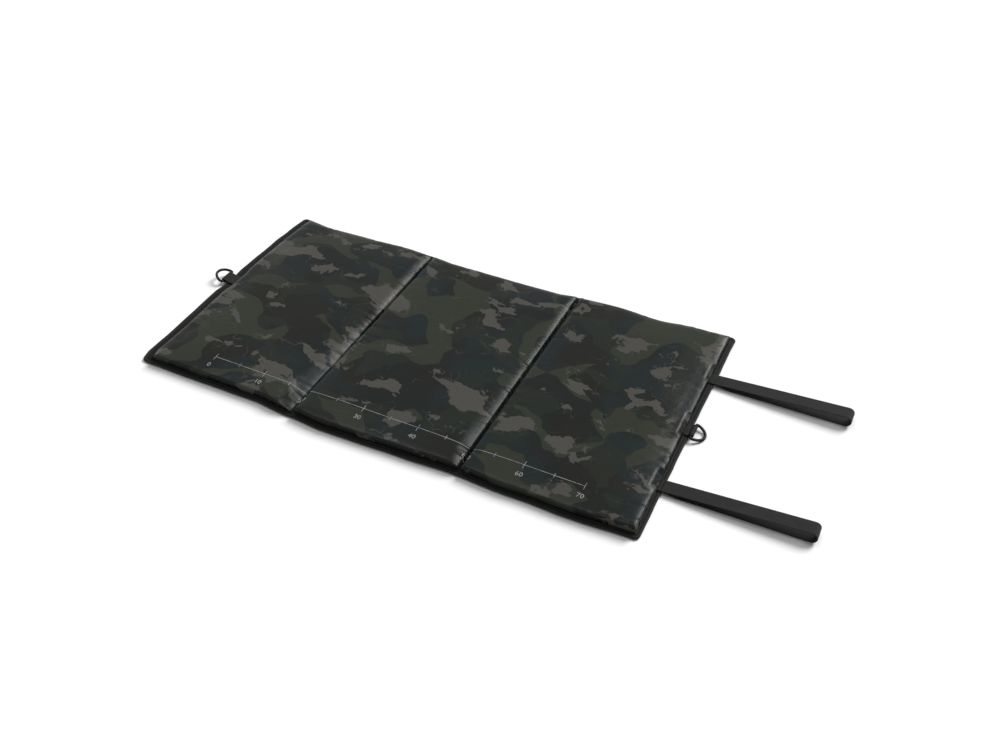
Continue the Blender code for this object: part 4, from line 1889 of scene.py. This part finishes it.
@dataclass
class Studio:
    """Pale floor, soft light and the camera."""

    lens: float = 38.394
    sensor: float = 36.0
    azimuth: float = 25.56
    elevation: float = 41.22
    roll: float = 0.41
    target: tuple[float, float, float] = (0.1067, -0.0030, 0.0)
    distance: float = 1.817
    sky_strength: float = 0.22
    floor_lit: tuple[float, float, float, float] = (0.80, 0.80, 0.80, 1)
    floor_seen: tuple[float, float, float, float] = (1.02, 1.02, 1.02, 1)

    def camera(self) -> None:
        """Stand the camera at the photograph's angle."""
        azimuth, elevation = radians(self.azimuth), radians(self.elevation)
        back = Vector((sin(azimuth) * cos(elevation), -cos(azimuth) * cos(elevation), sin(elevation)))
        right = Vector((cos(azimuth), sin(azimuth), 0))
        up = back.cross(right)
        roll = radians(self.roll)
        across = right * cos(roll) + up * sin(roll)
        upward = up * cos(roll) - right * sin(roll)
        deselect_all()
        bpy.ops.object.camera_add()
        camera = bpy.context.active_object
        camera.data.lens = self.lens
        camera.data.sensor_width = self.sensor
        place = Vector(self.target) + back * self.distance
        camera.matrix_world = Matrix(
            (
                (across.x, upward.x, back.x, place.x),
                (across.y, upward.y, back.y, place.y),
                (across.z, upward.z, back.z, place.z),
                (0, 0, 0, 1),
            )
        )
        camera.data.clip_end = 100
        bpy.context.scene.camera = camera

    def lamp(self, name: str, towards: tuple[float, float, float], spread: float, strength: float) -> None:
        """Hang a distant soft light.

        Args:
            name: Name of the lamp.
            towards: Direction from the mat to the lamp.
            spread: Width of its face, in degrees of sky.
            strength: Light on a surface that faces it.
        """
        deselect_all()
        bpy.ops.object.light_add(type="SUN", location=towards)
        lamp = bpy.context.active_object
        lamp.name = name
        lamp.data.angle = radians(spread)
        lamp.data.energy = strength
        lamp.rotation_euler = (-Vector(towards)).to_track_quat("-Z", "Y").to_euler()

    def seen_share(self, tree: bpy.types.NodeTree) -> bpy.types.NodeSocket:
        """Tell rays that show the background from rays that only carry light.

        Args:
            tree: Nodes that get the test.

        Returns:
            1 for camera, glossy and transmitted rays, else 0.
        """
        path = tree.nodes.new("ShaderNodeLightPath")
        total = path.outputs["Is Camera Ray"]
        for ray in ("Is Glossy Ray", "Is Transmission Ray"):
            either = tree.nodes.new("ShaderNodeMath")
            either.operation = "MAXIMUM"
            tree.links.new(total, either.inputs[0])
            tree.links.new(path.outputs[ray], either.inputs[1])
            total = either.outputs[0]
        return total

    def floor(self) -> None:
        """Lay the pale floor, which shows as white where no shadow falls."""
        deselect_all()
        bpy.ops.mesh.primitive_plane_add(size=60, location=(0, 0, -0.0002))
        floor = bpy.context.active_object
        floor.name = "floor"
        nodes = Nodes("pale_floor")
        tree = nodes.tree
        tree.nodes.remove(nodes.shader)
        output = next(node for node in tree.nodes if node.type == "OUTPUT_MATERIAL")
        plain = nodes.add("ShaderNodeBsdfDiffuse")
        plain.inputs["Color"].default_value = self.floor_lit
        seen = nodes.add("ShaderNodeBsdfDiffuse")
        seen.inputs["Color"].default_value = self.floor_seen
        mixer = nodes.add("ShaderNodeMixShader")
        nodes.feed(mixer.inputs[0], self.seen_share(tree))
        nodes.feed(mixer.inputs[1], plain.outputs[0])
        nodes.feed(mixer.inputs[2], seen.outputs[0])
        nodes.feed(output.inputs["Surface"], mixer.outputs[0])
        floor.data.materials.append(nodes.material)

    def sky(self) -> None:
        """Light the room evenly, and show a pale wall behind everything."""
        world = bpy.data.worlds.new("room")
        world.use_nodes = True
        tree = world.node_tree
        light = tree.nodes["Background"]
        light.inputs["Color"].default_value = (1, 1, 1, 1)
        light.inputs["Strength"].default_value = self.sky_strength
        pale = tree.nodes.new("ShaderNodeBackground")
        mixer = tree.nodes.new("ShaderNodeMixShader")
        tree.links.new(self.seen_share(tree), mixer.inputs[0])
        tree.links.new(light.outputs[0], mixer.inputs[1])
        tree.links.new(pale.outputs[0], mixer.inputs[2])
        tree.links.new(mixer.outputs[0], tree.nodes["World Output"].inputs["Surface"])
        bpy.context.scene.world = world

    def build(self) -> None:
        """Set up the whole studio."""
        bpy.context.scene.view_settings.view_transform = "Standard"
        self.camera()
        self.floor()
        self.sky()
        self.lamp("back_softbox", (0.31, 0.69, 0.655), 30, 3.30)
        self.lamp("top_softbox", (-0.35, 0.23, 0.905), 22, 0.45)


def main() -> None:
    """Build the studio and every sub-assembly of the mat, in order."""
    logging.basicConfig(level=logging.INFO, format="%(name)s: %(message)s")
    Studio().build()
    finishes = Finishes.make()
    stitcher = Stitcher(finishes.thread)
    panels = (
        PaddedPanel("left", Body.LEFT, LEFT_END, SEAM_DOMED, seed=3),
        PaddedPanel("middle", Body.MIDDLE, SEAM_LOW, SEAM_HIGH, seed=5),
        PaddedPanel("right", Body.RIGHT, SEAM_LOW, RIGHT_END, seed=8, hollows=RIGHT_HOLLOWS),
    )
    pads = {panel.body: panel.build(finishes.printed) for panel in panels}
    for fold in FOLDS:
        SeamValley(fold).build(finishes.printed, stitcher)
    BaseCloth().build(finishes.backing)
    Binding().build(finishes.tape, stitcher)
    DRing("left", Body.LEFT_RING, Body.LEFT, -1, PLAN.low_x).build(finishes, stitcher)
    DRing("right", Body.RIGHT_RING, Body.RIGHT, 1, PLAN.high_x).build(finishes, stitcher)
    CarryingStrap("front", Body.FRONT_STRAP, 0.236, 0.006).build(finishes, stitcher)
    CarryingStrap("back", Body.BACK_STRAP, 0.228, 0.002).build(finishes, stitcher)
    PrintedScale(pads).build(finishes.ink)


if __name__ == "__main__":
    main()
